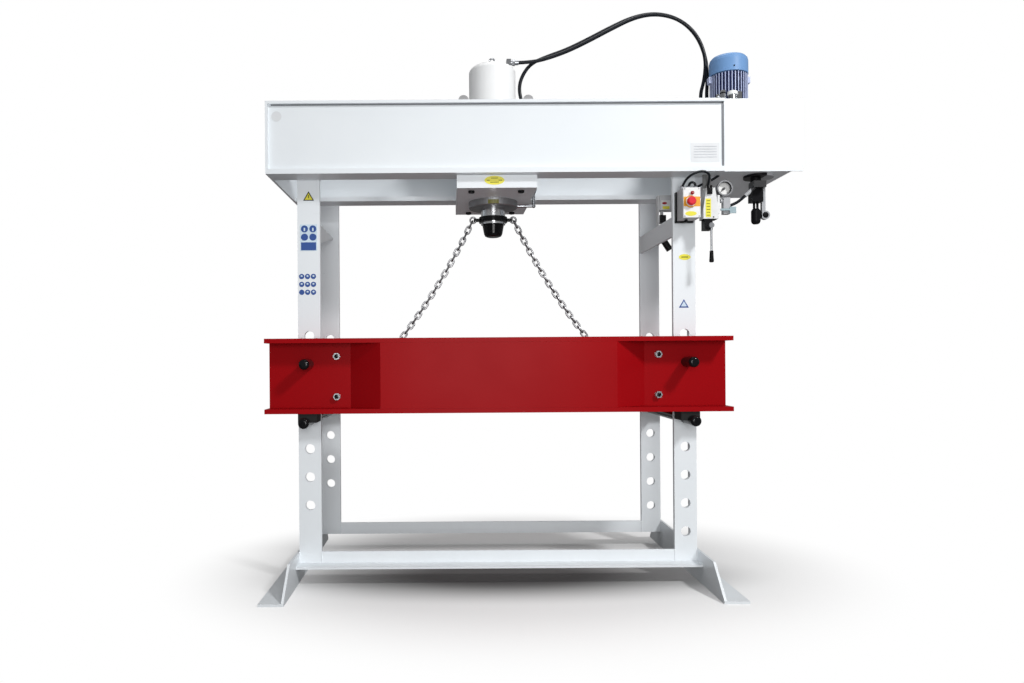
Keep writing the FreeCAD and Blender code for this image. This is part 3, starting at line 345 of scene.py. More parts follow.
labelGrey = plasticMaterial("labelGrey", (0.5, 0.52, 0.56), 0.35)
labelPale = plasticMaterial("labelPale", (0.62, 0.75, 0.86), 0.35)
labelSilver = plasticMaterial("labelSilver", (0.74, 0.76, 0.78), 0.3)
# the gland's yellow sticker, painted dark as shade
labelShadedYellow = plasticMaterial("labelShadedYellow", (0.17, 0.16, 0.02), 0.4)


# nodes that hold two colours: a measure gives 1 where the second one lies

splitSettings = {
    "toneScale": 30.0, "veil": 0.25, "veilColor": (0.01, 0.01, 0.012), "grainScale": 600.0, "bump": 0.12,
    "depth": 0.0003, "hangerZ": 1.652, "hangerShare": 0.75, "valveFootZ": 1.5181, "outletX": 1.1195,
    "pipesX": 1.055, "slantX": 0.768, "slantRise": 0.45, "slantZ": -1.478, "blockZ": (1.56, 1.6005),
    "rearBoxX": 0.7685, "ribRadius": 0.0775,
}


def splitMaterial(name, first, second, roughness, measure, gloss=0.3):
    s = splitSettings
    material, tree, shader = newMaterial(name, first, roughness, gloss=gloss)
    parts = newNode(tree, "SeparateXYZ")
    tree.links.new(objectPoint(tree), parts.inputs[0])
    mask = measure(tree, *parts.outputs)
    tone = noiseNode(tree, objectPoint(tree), s["toneScale"], 3.0)
    veil = times(tree, tone, s["veil"])
    color = mixColor(tree, veil, mixColor(tree, mask, first, second), s["veilColor"])
    tree.links.new(color, shader.inputs["Base Color"])
    grain = noiseNode(tree, objectPoint(tree), s["grainScale"], 2.0)
    bumpInto(tree, shader, grain, s["bump"], s["depth"])
    return material


def above(tree, value, limit):
    return mathNode(tree, "GREATER_THAN", value, limit)


def belowValve(tree, x, y, z):  # the black foot of the valve, and its grey hanger
    hanger = times(tree, above(tree, z, splitSettings["hangerZ"]), splitSettings["hangerShare"])
    return mathNode(tree, "MAXIMUM", mathNode(tree, "LESS_THAN", z, splitSettings["valveFootZ"]), hanger)


def rightOfOutlet(tree, x, y, z):
    return above(tree, x, pressX + splitSettings["outletX"])


def darkRearParts(tree, x, y, z):  # the block below the rear switch and the knob below its slanted bracket
    s = splitSettings
    along = mathNode(tree, "SUBTRACT", x, pressX + s["slantX"])
    slant = mathNode(tree, "SUBTRACT", times(tree, along, s["slantRise"]), z)
    knob = above(tree, slant, s["slantZ"])
    low, high = s["blockZ"]
    block = times(tree, above(tree, z, low), mathNode(tree, "LESS_THAN", z, high))
    either = mathNode(tree, "MAXIMUM", knob, block)
    return times(tree, either, above(tree, x, pressX + s["rearBoxX"]))


def rightPipes(tree, x, y, z):
    return above(tree, x, pressX + splitSettings["pipesX"])


def ribHighlightMask(tree, x, y, z):  # painted light: whether a point of the motor housing stands out past its core; the rib tips beyond it get a painted highlight
    dx = mathNode(tree, "SUBTRACT", x, pressX + motorAxis[0])
    dy = mathNode(tree, "SUBTRACT", y, motorAxis[1])
    square = mathNode(tree, "ADD", times(tree, dx, dx), times(tree, dy, dy))
    return above(tree, mathNode(tree, "SQRT", square), splitSettings["ribRadius"])


paleCream = (0.82, 0.83, 0.83)
deepBlack = (0.007, 0.007, 0.008)
linkSteel = (0.44, 0.45, 0.47)
valveSplit = splitMaterial("valveSplit", paleCream, deepBlack, 0.34, belowValve, 0.1)
outletSplit = splitMaterial("outletSplit", deepBlack, linkSteel, 0.3, rightOfOutlet, 0.08)
pipeSplit = splitMaterial("pipeSplit", (0.46, 0.47, 0.49), (0.02, 0.02, 0.022), 0.28, rightPipes, 0.6)
# painted light on the motor housing: the core between the ribs is painted dark as shade, the rib tips pale as
# highlight
ribShadeAndHighlight = splitMaterial("ribShadeAndHighlight", (0.022, 0.035, 0.14), (0.46, 0.52, 0.74), 0.36, ribHighlightMask)
switchSplit = splitMaterial("switchSplit", (0.62, 0.63, 0.64), deepBlack, 0.4, darkRearParts)

nodeFinishes = {
    whitePaint: ["front_upright_left", "front_upright_right", "rear_upright_left", "rear_upright_right",
                 "front_top_beam", "rear_top_beam", "front_fascia", "beam_end_plate", "front_base_rail",
                 "rear_base_rail", "left_foot", "right_foot", "right_side_tie", "left_side_tie", "tank",
                 "carriage_plate", "carriage_hangers"],
    creamPaint: ["cylinder_barrel", "cylinder_cap"],
    redPaint: ["table_front_beam", "table_rear_beam", "table_cover"],
    blackSteel: ["upper_left_pin", "upper_right_pin", "lower_left_pin", "lower_right_pin", "carriage_bolts",
                 "ram_collar", "ram_nose"],
    tealPlastic: ["shutoff_handle"],
    caseSteel: ["gauge_case"],
    pipeSplit: ["pipework"],
    outletSplit: ["outlet_block"],
    brightSteel: ["table_spacers", "left_roller_set", "right_roller_set", "motor_rotor", "piston"],
    zincPlate: ["table_tie_bolts", "cylinder_fittings", "valve_lever"],
    chromePlate: ["ram_rod"],
    castMetal: ["rod_gland", "pump", "motor_adapter"],
    sealRubber: ["table_pads", "rod_seals"],
    ribShadeAndHighlight: ["motor_housing"],
    motorPaint: ["fan_cover"],
    switchSplit: ["switch_boxes"],
    coverPlastic: ["switch_cover"],
    valveSplit: ["valve_body"],
    buttonRed: ["stop_button"],
    gripBlack: ["gauge_needle"],
}
for material, names in nodeFinishes.items():
    for name in names:
        nodes[name].data.materials.clear()
        nodes[name].data.materials.append(material)
print("materials ready")


# mesh helpers

def finish(name, bm, material, body="frame", smooth=True):
    bmesh.ops.remove_doubles(bm, verts=bm.verts, dist=1e-6)
    bmesh.ops.recalc_face_normals(bm, faces=bm.faces)
    mesh = takeMesh(bm, name)
    piece = newObject(name, mesh)
    mesh.materials.append(material)
    if smooth:
        mesh.shade_smooth()
        mesh.set_sharp_from_angle(angle=math.radians(35))
    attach(piece, body)
    return piece


def bevelEdges(bm, edges, bevel):
    bmesh.ops.bevel(bm, geom=edges, offset=bevel, affect="EDGES", segments=3, profile=0.5, material=-1)


def addCylinder(bm, centre, radius, length, axis, segments, bevel=0.0):
    turn = {"X": quarterY, "Y": quarterX, "Z": Matrix.Identity(4)}[axis]
    made = bmesh.ops.create_cone(bm, cap_ends=True, segments=segments, radius1=radius, radius2=radius,
                                 depth=length, matrix=Matrix.Translation(centre) @ turn)
    if bevel:
        faces = {face for vert in made["verts"] for face in vert.link_faces if len(face.verts) > 4}
        bevelEdges(bm, list({edge for face in faces for edge in face.edges}), bevel)


def addBlock(bm, matrix, size):
    return bmesh.ops.create_cube(bm, size=1.0, matrix=matrix @ Matrix.Diagonal((*size, 1.0)))["verts"]


def addBox(bm, low, high, bevel):
    middle = (Vector(high) + Vector(low)) / 2
    verts = addBlock(bm, Matrix.Translation(middle), Vector(high) - Vector(low))
    bevelEdges(bm, list({edge for vert in verts for edge in vert.link_edges}), bevel)


def addTurned(bm, profile, centre, axis, segments):  # profile: (radius, height) pairs, closed or on the axis
    direction = Vector(axis)
    side = direction.orthogonal().normalized()
    verts = [bm.verts.new(centre + side * r + direction * h) for r, h in profile]
    edges = [bm.edges.new(pair) for pair in zip(verts, verts[1:])]
    bmesh.ops.spin(bm, geom=verts + edges, cent=centre, axis=direction, angle=math.tau, steps=segments,
                   use_merge=True)


def squareRing(inner, outer, height):
    return [(inner, 0), (outer, 0), (outer, height), (inner, height), (inner, 0)]


def roundsPiece(name, rounds, material, body="frame"):  # rounds: a spot, then as addCylinder
    bm = bmesh.new()
    for spot, *shape in rounds:
        addCylinder(bm, place(*spot), *shape)
    finish(name, bm, material, body)


def turnedPiece(name, profile, spots, axis, segments, material, body="frame"):
    bm = bmesh.new()
    for spot in spots:
        addTurned(bm, profile, place(*spot), axis, segments)
    finish(name, bm, material, body)


# hoses and cables

hoseSettings = {
    "diameter": 0.016, "frontY": -0.014, "rearY": 0.014, "pressureLength": 1.242, "returnLength": 1.795,
    "pressureRoute": [
        (0.947, 2.05), (0.936, 2.122), (0.96, 2.202), (0.967, 2.304), (0.927, 2.406), (0.848, 2.476),
        (0.748, 2.501), (0.648, 2.485), (0.545, 2.435), (0.44, 2.38), (0.34, 2.332), (0.24, 2.298),
        (0.175, 2.285), (0.118, 2.283)],
    "returnRoute": [
        (0.985, 2.05), (0.977, 2.126), (0.983, 2.208), (0.978, 2.308), (0.936, 2.416), (0.855, 2.49),
        (0.75, 2.517), (0.645, 2.5), (0.54, 2.452), (0.436, 2.398), (0.338, 2.351), (0.248, 2.32),
        (0.178, 2.29), (0.138, 2.236), (0.122, 2.18), (0.133, 2.115), (0.168, 2.045), (0.182, 1.96),
        (0.187, 1.87), (0.185, 1.79), (0.186, 1.722)],
}


def routeCurve(name, points, diameter):  # a diameter of 0 gives the bare line
    curve = bpy.data.curves.new(name, "CURVE")
    curve.dimensions = "3D"
    spline = curve.splines.new("NURBS")
    spline.points.add(len(points) - 1)
    for target, point in zip(spline.points, points):
        target.co = (*point, 1.0)
    spline.order_u = 3
    spline.use_endpoint_u = True
    spline.resolution_u = 12
    if diameter:
        curve.bevel_depth = diameter / 2
        curve.bevel_resolution = 4
        curve.use_fill_caps = True
    return newObject(name, curve)


def curveMesh(piece):
    bpy.context.view_layer.update()
    graph = bpy.context.evaluated_depsgraph_get()
    return bpy.data.meshes.new_from_object(piece.evaluated_get(graph), depsgraph=graph)


def linePoints(name, points):
    line = routeCurve(name, points, 0.0)
    mesh = curveMesh(line)
    found = [vert.co.copy() for vert in mesh.vertices]
    bpy.data.objects.remove(line)
    bpy.data.meshes.remove(mesh)
    return found


def hoseMesh(name, points, diameter, material):
    tube = routeCurve(name + "_line", points, diameter)
    mesh = curveMesh(tube)
    bpy.data.objects.remove(tube)
    mesh.name = name
    mesh.materials.clear()
    mesh.materials.append(material)
    mesh.shade_smooth()
    return newObject(name, mesh)


def addHoses():
    s = hoseSettings
    for name, route, y, length in (("pressureHose", s["pressureRoute"], s["frontY"], s["pressureLength"]),
                                   ("returnHose", s["returnRoute"], s["rearY"], s["returnLength"])):
        points = [place(x, y, z) for x, z in route]
        hose = hoseMesh(name, points, s["diameter"], hoseRubber)
        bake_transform(hose)
        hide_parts("pressure_hose" if name == "pressureHose" else "return_hose")
        linePoints(name + "_path", points)


cableY = -0.27  # the middle of the switch box
boxTop = 1.644
cableSettings = {  # length, diameter and route
    "largeLoop": (0.23, 0.01, [
        (0.77, cableY, boxTop), (0.771, cableY - 0.026, 1.668), (0.79, cableY - 0.058, 1.694),
        (0.83, cableY - 0.071, 1.708), (0.864, cableY - 0.062, 1.702), (0.88, cableY - 0.03, 1.684),
        (0.881, cableY - 0.003, 1.662)]),
    "smallLoop": (0.075, 0.01, [
        (0.796, cableY - 0.014, boxTop), (0.797, cableY - 0.014, 1.66), (0.805, cableY - 0.014, 1.674),
        (0.819, cableY - 0.014, 1.674), (0.827, cableY - 0.014, 1.66), (0.828, cableY - 0.014, boxTop)]),
    "crossCable": (0.133, 0.01, [
        (0.822, cableY + 0.022, boxTop), (0.834, cableY + 0.022, 1.657), (0.866, cableY + 0.022, 1.674),
        (0.906, cableY + 0.022, 1.69), (0.936, cableY + 0.022, 1.71)]),
    "valveHose": (0.076, 0.012, [
        (0.968, -0.282, 1.576), (0.992, -0.282, 1.585), (1.013, -0.282, 1.599), (1.032, -0.282, 1.616)]),
}


def addCables():
    for name, (length, diameter, route) in cableSettings.items():
        points = [place(*point) for point in route]
        cable = routeCurve(name, points, diameter)
        cable.data.materials.append(hoseRubber)
        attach(cable, "frame")
        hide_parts("valve_hose" if name == "valveHose" else "control_cables")


addHoses()
addCables()
print("hoses and cables ready")


# lifting chains

chainSettings = {
    "wire": 0.008, "width": 0.028, "pitch": 0.027, "play": 0.0006, "sag": 0.034, "bow": (-0.6, 0, -1),
    "sides": 10, "turnSteps": 8, "lugRing": (0.091, 0.0, 1.5735), "lugRadius": 0.013,
    "bar": (0.457, 0.0, 0.985), "barRadius": 0.024, "ringWire": 0.008, "ringSides": 12, "ringSteps": 36,
    "seat": 0.0003, "travel": 0.3, "samples": 400,
}


def oneLink(s, pitch):  # a closed bar of round wire, lying along X with its width along Y
    bm = bmesh.new()
    bend = (s["width"] - s["wire"]) / 2
    straight = (pitch + s["play"] + s["wire"]) / 2 - bend
    start = Matrix.Translation((straight, -bend, 0)) @ quarterY
    ring = bmesh.ops.create_circle(bm, segments=s["sides"], radius=s["wire"] / 2, matrix=start)["verts"]
    edges = list({edge for vert in ring for edge in vert.link_edges})
    loop = ring + edges
    for side in (1, -1):
        spun = bmesh.ops.spin(bm, geom=loop, cent=(side * straight, 0, 0), axis=(0, 0, 1), angle=math.pi,
                              steps=s["turnSteps"])["geom_last"]
        rim = [e for e in spun if isinstance(e, bmesh.types.BMEdge)]
        pushed = bmesh.ops.extrude_edge_only(bm, edges=rim)["geom"]
        moved = [v for v in pushed if isinstance(v, bmesh.types.BMVert)]
        bmesh.ops.translate(bm, verts=moved, vec=(-2 * side * straight, 0, 0))
        loop = moved + [e for e in pushed if isinstance(e, bmesh.types.BMEdge)
                        and all(v in moved for v in e.verts)]
    bmesh.ops.remove_doubles(bm, verts=bm.verts, dist=1e-5)
    bmesh.ops.recalc_face_normals(bm, faces=bm.faces)
    return takeMesh(bm, "link")


def addMeshCopy(bm, mesh, matrix):
    before = set(bm.verts)
    bm.from_mesh(mesh)
    bmesh.ops.transform(bm, matrix=matrix, verts=[v for v in bm.verts if v not in before])


def ringMesh(s, radius):
    bm = bmesh.new()
    ring = bmesh.ops.create_circle(bm, segments=s["ringSides"], radius=s["ringWire"] / 2,
                                   matrix=Matrix.Translation((radius, 0, 0)))["verts"]
    edges = list({edge for vert in ring for edge in vert.link_edges})
    bmesh.ops.spin(bm, geom=ring + edges, cent=(0, 0, 0), axis=(0, 1, 0), angle=math.tau,
                   steps=s["ringSteps"], use_merge=True)
    bmesh.ops.remove_doubles(bm, verts=bm.verts, dist=1e-5)
    return takeMesh(bm, "ring")


def addChain(name, node, side):
    s = chainSettings
    lug = Vector(s["lugRing"])
    bar = Vector(s["bar"])
    down = (bar - lug).normalized()
    barInner = s["barRadius"] + s["wire"] + 2 * s["seat"]
    lowRing = bar - down * (barInner - s["barRadius"] - s["seat"])
    first = lug + down * (s["lugRadius"] - s["ringWire"] / 2 - s["play"] / 2)
    last = lowRing - down * (barInner - s["play"] / 2)
    bow = (first + last) / 2 + Vector(s["bow"]) * s["sag"]
    steps = range(s["samples"] + 1)
    shares = [n / s["samples"] for n in steps]
    fine = [first * (1 - t) ** 2 + bow * 2 * t * (1 - t) + last * t * t for t in shares]
    lengths = [0.0]
    for a, b in zip(fine, fine[1:]):
        lengths.append(lengths[-1] + (b - a).length)
    count = 2 * int(lengths[-1] / s["pitch"] / 2) + 1  # odd, so that both end links lie alike
    stations = [fine[min(steps, key=lambda n: abs(lengths[n] - lengths[-1] * i / count))]
                for i in range(count + 1)]
    bm = bmesh.new()
    link = oneLink(s, lengths[-1] / count)
    for i, (a, b) in enumerate(zip(stations, stations[1:])):
        along = (b - a).normalized()
        across = Vector((0, 1, 0)) if i % 2 == 0 else along.cross(Vector((0, 1, 0)))
        normal = along.cross(across)
        turn = Matrix((along, across, normal)).transposed().to_4x4()
        addMeshCopy(bm, link, Matrix.Translation((a + b) / 2) @ turn)
    addMeshCopy(bm, ringMesh(s, s["lugRadius"]), Matrix.Translation(lug))
    addMeshCopy(bm, ringMesh(s, barInner + s["ringWire"] / 2), Matrix.Translation(lowRing))
    if side < 0:
        bmesh.ops.scale(bm, vec=(-1, 1, 1), verts=bm.verts)
    bmesh.ops.translate(bm, vec=(pressX, 0, 0), verts=bm.verts)
    chain = finish(name, bm, chainSteel, "ram")
    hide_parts(node)
    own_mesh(chain)


addChain("rightChain", "right_chain", 1)
addChain("leftChain", "left_chain", -1)
print("chains ready")


# labels: plain colour fields where the press carries its signs, as x, z, width and height on a face

labelSettings = {
    "thick": 0.0008, "bevel": 0.0002, "sides": 36, "slope": 0.43, "uprightY": -0.2175, "fasciaY": -0.3125,
    "carriageY": -0.2915, "coverY": -0.3225, "valveY": -0.308, "rearSwitchY": 0.037,
    "carriageLabel": (-0.0106, 1.686, 0.083, 0.037), "carriageMarkHeight": 0.0022,
    "carriageMarks": [(0, 0.009, 0.028), (-0.026, 0, 0.012), (0.024, 0, 0.014), (0, -0.008, 0.036)],
    "warningBorder": (-0.7965, 1.642, 0.046), "warningField": (-0.7965, 1.64, 0.033),
    "warningMark": (-0.7965, 1.639, 0.003, 0.014), "signField": (-0.7975, 1.4648, 0.073, 0.1125),
    "signX": (-0.8147, -0.779), "signZ": (1.502, 1.467), "signDisc": (0.03, 0.03),
    "signFoot": (-0.7975, 1.428, 0.064, 0.034), "signMark": (1.4995, 0.006, 0.014),
    "lowerX": (-0.828, -0.803, -0.778), "lowerZ": (1.3, 1.2665, 1.233), "lowerDisc": (0.0225, 0.0225),
    "lowerRise": 0.002, "lowerMark": (0.009, 0.007), "lowerPlain": (-0.828, 1.233),
    "uprightOval": (0.8, 1.372, 0.05, 0.025), "uprightOvalMark": (0.8, 1.372, 0.028, 0.003),
    "blueTriangle": (0.795, 1.175, 0.042), "blueTriangleField": (0.795, 1.1735, 0.026),
    "fasciaPlug": (-0.909, 1.95, 0.042, 0.042), "dataPlate": (0.857, 1.79, 0.119, 0.079),
    "dataLines": (0.857, 1.815, 0.095, 0.0022, 0.011, 5), "stopField": (0.798, 1.5865, 0.068, 0.04),
    "switchOval": (0.7935, 1.537, 0.047, 0.019), "valveLabel": (0.87, 1.563, 0.022, 0.076),
    "valveMarks": (0.87, 1.592, 0.014, 0.002, 0.012, 6), "valveSpot": (0.8916, 1.5245, 0.006, 0.006),
    "rearSwitchPlate": (0.796, 1.645, 0.041, 0.043), "rearSwitchField": (0.797, 1.633, 0.032, 0.013),
    "rearSwitchSpot": (0.79, 1.6535, 0.022, 0.011),
}


def addPlate(bm, x, z, width, height, y, lift=0.0):
    near = y - labelSettings["thick"] - lift
    addBox(bm, place(x - width / 2, near, z - height / 2), place(x + width / 2, y - lift, z + height / 2),
           labelSettings["bevel"])


def addDisc(bm, x, z, width, height, y, lift=0.0):
    thick = labelSettings["thick"]
    stretch = Matrix.Diagonal((width / 2, 1.0, height / 2, 1.0))
    stand = Matrix.Translation(place(x, y - lift - thick / 2, z))
    bmesh.ops.create_cone(bm, cap_ends=True, segments=labelSettings["sides"], radius1=1.0, radius2=1.0,
                          depth=thick, matrix=stand @ stretch @ quarterX)


def addTriangle(bm, x, z, width, y, lift=0.0):
    thick = labelSettings["thick"]
    rise = width * labelSettings["slope"]
    corners = [(x - width / 2, z - rise), (x + width / 2, z - rise), (x, z + rise)]
    near = [bm.verts.new(place(a, y - lift - thick, b)) for a, b in corners]
    far = [bm.verts.new(place(a, y - lift, b)) for a, b in corners]
    bm.faces.new(near)
    bm.faces.new(far)
    for a, b, c, d in zip(near, near[1:] + near[:1], far[1:] + far[:1], far):
        bm.faces.new((a, b, c, d))


def labelPiece(name, material, shapes, body="frame"):
    bm = bmesh.new()
    for build, *values in shapes:
        build(bm, *values)
    finish(name, bm, material, body, smooth=False)


def lineShapes(x, z, width, height, step, count, y, lift):  # equal lines below one another
    return [(addPlate, x, z - step * n, width, height, y, lift) for n in range(count)]


def simpleLabel(name, material, build, y, lift=0.0):  # one shape, with its sizes under its own name
    labelPiece(name, material, [(build, *labelSettings[name], y, lift)])


def addLabels():
    s = labelSettings
    up, over, fascia = s["uprightY"], s["thick"], s["fasciaY"]
    ovalX, ovalZ, *oval = s["carriageLabel"]
    labelPiece("carriageLabel", labelYellow, [(addDisc, ovalX, ovalZ, *oval, s["carriageY"])],
               body="carriage")
    labelPiece("carriageMarks", gripBlack,
               [(addPlate, ovalX + dx, ovalZ + dz, w, s["carriageMarkHeight"], s["carriageY"], over)
                for dx, dz, w in s["carriageMarks"]], body="carriage")
    simpleLabel("warningBorder", gripBlack, addTriangle, up)
    simpleLabel("warningField", labelYellow, addTriangle, up, over)
    simpleLabel("warningMark", gripBlack, addPlate, up, 2 * over)
    simpleLabel("signField", labelPale, addPlate, up)
    discs = [(addDisc, x, z, *s["signDisc"], up, over) for x in s["signX"] for z in s["signZ"]]
    labelPiece("signDiscs", labelBlue, discs + [(addPlate, *s["signFoot"], up, over)])
    spots = [(x, z) for x in s["lowerX"] for z in s["lowerZ"]]
    labelPiece("lowerDiscs", labelBlue, [(addDisc, x, z, *s["lowerDisc"], up) for x, z in spots])
    marks = [(addDisc, x, z + s["lowerRise"], *s["lowerMark"], up, over)
             for x, z in spots if (x, z) != s["lowerPlain"]]
    labelPiece("lowerDiscMarks", labelPale,
               marks + [(addPlate, x, *s["signMark"], up, 2 * over) for x in s["signX"]])
    simpleLabel("uprightOval", labelYellow, addDisc, up)
    simpleLabel("uprightOvalMark", gripBlack, addPlate, up, over)
    simpleLabel("blueTriangle", labelBlue, addTriangle, up)
    simpleLabel("blueTriangleField", labelPale, addTriangle, up, over)
    simpleLabel("fasciaPlug", labelSilver, addDisc, fascia)
    simpleLabel("dataPlate", labelSilver, addPlate, fascia)
    labelPiece("dataLines", labelGrey, lineShapes(*s["dataLines"], fascia, over))
    simpleLabel("stopField", collarYellow, addPlate, s["coverY"])
    simpleLabel("switchOval", labelYellow, addDisc, s["coverY"])
    simpleLabel("valveLabel", labelYellow, addPlate, s["valveY"])
    labelPiece("valveMarks", gripBlack,
               lineShapes(*s["valveMarks"], s["valveY"], over) + [(addDisc, *s["valveSpot"], s["valveY"])])
    simpleLabel("rearSwitchPlate", coverPlastic, addPlate, s["rearSwitchY"])
    simpleLabel("rearSwitchField", labelYellow, addPlate, s["rearSwitchY"], over)
    labelPiece("rearSwitchSpot", lampRed,
               [(addDisc, *s["rearSwitchSpot"], s["rearSwitchY"], over)])


def joinRings(bm, rings):  # closed rings of equal counts, joined and capped
    for a, b in zip(rings, rings[1:]):
        for k in range(len(a)):
            after = (k + 1) % len(a)
            bm.faces.new((a[k], a[after], b[after], b[k]))
    bm.faces.new(rings[0])
    bm.faces.new(rings[-1])


glandLabelSettings = {
    "radius": 0.1104, "thick": 0.0004, "low": 1.628, "high": 1.646, "arc": 25, "turn": -0.04, "strips": 8,
}


def addGlandLabel():  # a yellow sticker bent round the rod gland's front, painted dark olive as shade
    s = glandLabelSettings
    outer, inner = s["radius"], s["radius"] - s["thick"]
    section = ((outer, s["low"]), (outer, s["high"]), (inner, s["high"]), (inner, s["low"]))
    bm = bmesh.new()
    columns = []
    for n in range(s["strips"] + 1):
        angle = math.radians(-s["arc"] / 2 + s["arc"] * n / s["strips"]) + s["turn"]
        points = [(r * math.sin(angle), -r * math.cos(angle), z) for r, z in section]
        columns.append([bm.verts.new(place(*point)) for point in points])
    joinRings(bm, columns)
    finish("glandLabel", bm, labelShadedYellow, "carriage", smooth=False)


addLabels()
addGlandLabel()
print("labels ready")


# small fittings on the controls

switchSettings = {
    "glandX": (0.77, 0.797, 0.8265), "glandY": -0.28,
    "glandSteps": [(1.65, 0.009, 0.012, "Z", 24, 0.0012), (1.658, 0.0072, 0.006, "Z", 24, 0.001)],
    # backLow to backHigh: a black back plate whose edges at the box's left and bottom are a painted shadow
    "backLow": (0.7575, -0.238, 1.515), "backHigh": (0.833, -0.2178, 1.6435), "sideX": 0.7628,
    "footZ": 1.5208, "backBevel": 0.0012, "outletSpot": (0.783, -0.29, 1.512),
    "outlet": (0.007, 0.012, "Z", 20, 0.001), "screwX": (0.7685, 0.8275), "screwY": -0.3228,
    "screwZ": (1.5265, 1.6385), "screw": (0.0028, 0.0016, "Y", 16, 0.0004),
    "lampSpot": (0.798, -0.3284, 1.621),
    "lamp": [(0, 0), (0.0078, 0), (0.0078, 0.002), (0.0064, 0.0055), (0.0038, 0.0078), (0, 0.0086)],
    "ringSpot": (0.792, -0.3234, 1.586),
    "ring": [(0.0205, 0), (0.025, 0), (0.025, 0.003), (0.0228, 0.0058), (0.0205, 0.0058), (0.0205, 0)],
}


def addSwitchParts():
    s = switchSettings
    glands = [((x, s["glandY"], z), *shape) for x in s["glandX"] for z, *shape in s["glandSteps"]]
    roundsPiece("cableGlands", glands, boxPlastic)
    bm = bmesh.new()
    # painted shadow: a black back plate, its edges left of and below the box standing for the box's shadow on
    # the upright
    _, backY, topZ = s["backHigh"]
    addBox(bm, place(*s["backLow"]), place(s["sideX"], backY, topZ), s["backBevel"])
    addBox(bm, place(*s["backLow"]), place(s["backHigh"][0], backY, s["footZ"]), s["backBevel"])
    addCylinder(bm, place(*s["outletSpot"]), *s["outlet"])
    finish("switchShadowPlate", bm, gripBlack)
    screws = [((x, s["screwY"], z), *s["screw"]) for x in s["screwX"] for z in s["screwZ"]]
    roundsPiece("coverScrews", screws, zincPlate)
    turnedPiece("lampLens", s["lamp"], [s["lampSpot"]], forwards, 28, lampRed)
    turnedPiece("buttonRing", s["ring"], [s["ringSpot"]], forwards, 40, collarYellow)


valveSettings = {
    "blockLow": (0.864, -0.318, 1.618), "blockHigh": (0.885, -0.3082, 1.644), "blockBevel": 0.002,
    "stems": [((0.868, -0.313, 1.649), 0.0045, 0.012), ((0.88, -0.313, 1.649), 0.0045, 0.012),
              ((0.881, -0.27, 1.6635), 0.0085, 0.004)],
    "nuts": [((0.9205, -0.282, 1.545), 0.006, 0.004, "X", 6, 0.0008),
             ((0.9205, -0.282, 1.6), 0.006, 0.004, "X", 6, 0.0008),
             ((0.9245, -0.282, 1.596), 0.011, 0.008, "X", 6, 0.001)],
    "gripSpot": (0.881, -0.311, 1.3375),
    "grip": [(0, 0), (0.0062, 0), (0.0092, 0.003), (0.0094, 0.007), (0.0086, 0.016), (0.0078, 0.032),
             (0.0074, 0.046), (0.0052, 0.048), (0, 0.048)],
}


def addValveParts():
    s = valveSettings
    bm = bmesh.new()
    addBox(bm, place(*s["blockLow"]), place(*s["blockHigh"]), s["blockBevel"])
    for spot, radius, length in s["stems"]:
        addCylinder(bm, place(*spot), radius, length, "Z", 20, 0.001)
    finish("valveConnector", bm, gripBlack)
    roundsPiece("valveNuts", s["nuts"], zincPlate)
    turnedPiece("leverGrip", s["grip"], [s["gripSpot"]], upwards, 28, gripBlack, "valve_lever")


gaugeSettings = {
    "x": 0.9415, "z": 1.645, "dialY": -0.2822, "ringY": -0.296, "radius": 0.0265, "hole": 0.0024,
    "dialThick": 0.0008, "ticks": 31, "sweep": 270, "tickLift": 0.0011, "tickGap": 0.0018,
    "tickLengths": (0.0052, 0.003), "tickWide": 0.0008, "tickThick": 0.0004, "sides": 48,
    "ring": [(0.0252, 0), (0.0268, 0), (0.0272, 0.0015), (0.0266, 0.003), (0.0254, 0.003), (0.0252, 0)],
}


def addGauge():
    s = gaugeSettings
    dial = squareRing(s["hole"], s["radius"], s["dialThick"])
    turnedPiece("gaugeDial", dial, [(s["x"], s["dialY"], s["z"])], forwards, s["sides"], dialWhite)
    bm = bmesh.new()
    centre = Matrix.Translation(place(s["x"], s["dialY"] - s["tickLift"], s["z"]))
    for n in range(s["ticks"]):
        turn = math.radians(-s["sweep"] / 2 + s["sweep"] * n / (s["ticks"] - 1))
        length = s["tickLengths"][0 if n % 5 == 0 else 1]
        middle = Matrix.Translation((0, 0, s["radius"] - s["tickGap"] - length / 2))
        addBlock(bm, centre @ Matrix.Rotation(turn, 4, "Y") @ middle, (s["tickWide"], s["tickThick"], length))
    finish("gaugeTicks", bm, gripBlack, smooth=False)
    turnedPiece("gaugeInnerRing", s["ring"], [(s["x"], s["ringY"], s["z"])], forwards, s["sides"], gripBlack)


# small steel parts: bolt heads and ends, joint lines painted dark as shade, motor bolts, fan grille, tank
# fittings, hose nuts

headSettings = {
    "x": 0.105, "y": 0.236, "z": 1.6548,
    "head": [(0.0068, 0), (0.0135, 0), (0.0135, 0.008), (0.012, 0.0095), (0.0068, 0.0095), (0.0068, 0)],
}


def addCarriageHeads():
    s = headSettings
    spots = [(x, y, s["z"]) for x in (-s["x"], s["x"]) for y in (-s["y"], s["y"])]
    turnedPiece("carriageHeads", s["head"], spots, downwards, 32, blackSteel, "carriage")


seamSettings = {
    "left": -0.931, "right": 0.9335, "sideX": 0.9262, "low": 1.73, "edgeZ": 1.9935, "high": 1.9985,
    "near": 0.0035, "far": 0.0003, "bevel": 0.0002,
}


def addSeams():  # the seam along the top and the right side of the recessed front plate, painted dark as the shade in its gap
    s = seamSettings
    bm = bmesh.new()
    near, far = labelSettings["fasciaY"] - s["near"], labelSettings["fasciaY"] - s["far"]
    for x, z in ((s["left"], s["edgeZ"]), (s["sideX"], s["low"])):
        addBox(bm, place(x, near, z), place(s["right"], far, s["high"]), s["bevel"])
    finish("fasciaSeamShade", bm, seamShadeGrey)


boltSettings = {
    "x": 0.678, "z": (0.79, 0.96), "endY": -0.2532, "end": (0.0092, 0.0026, "Y", 28, 0.0012),
    "washerY": -0.2366, "washer": (0.0107, 0.0142, 0.0024),
}


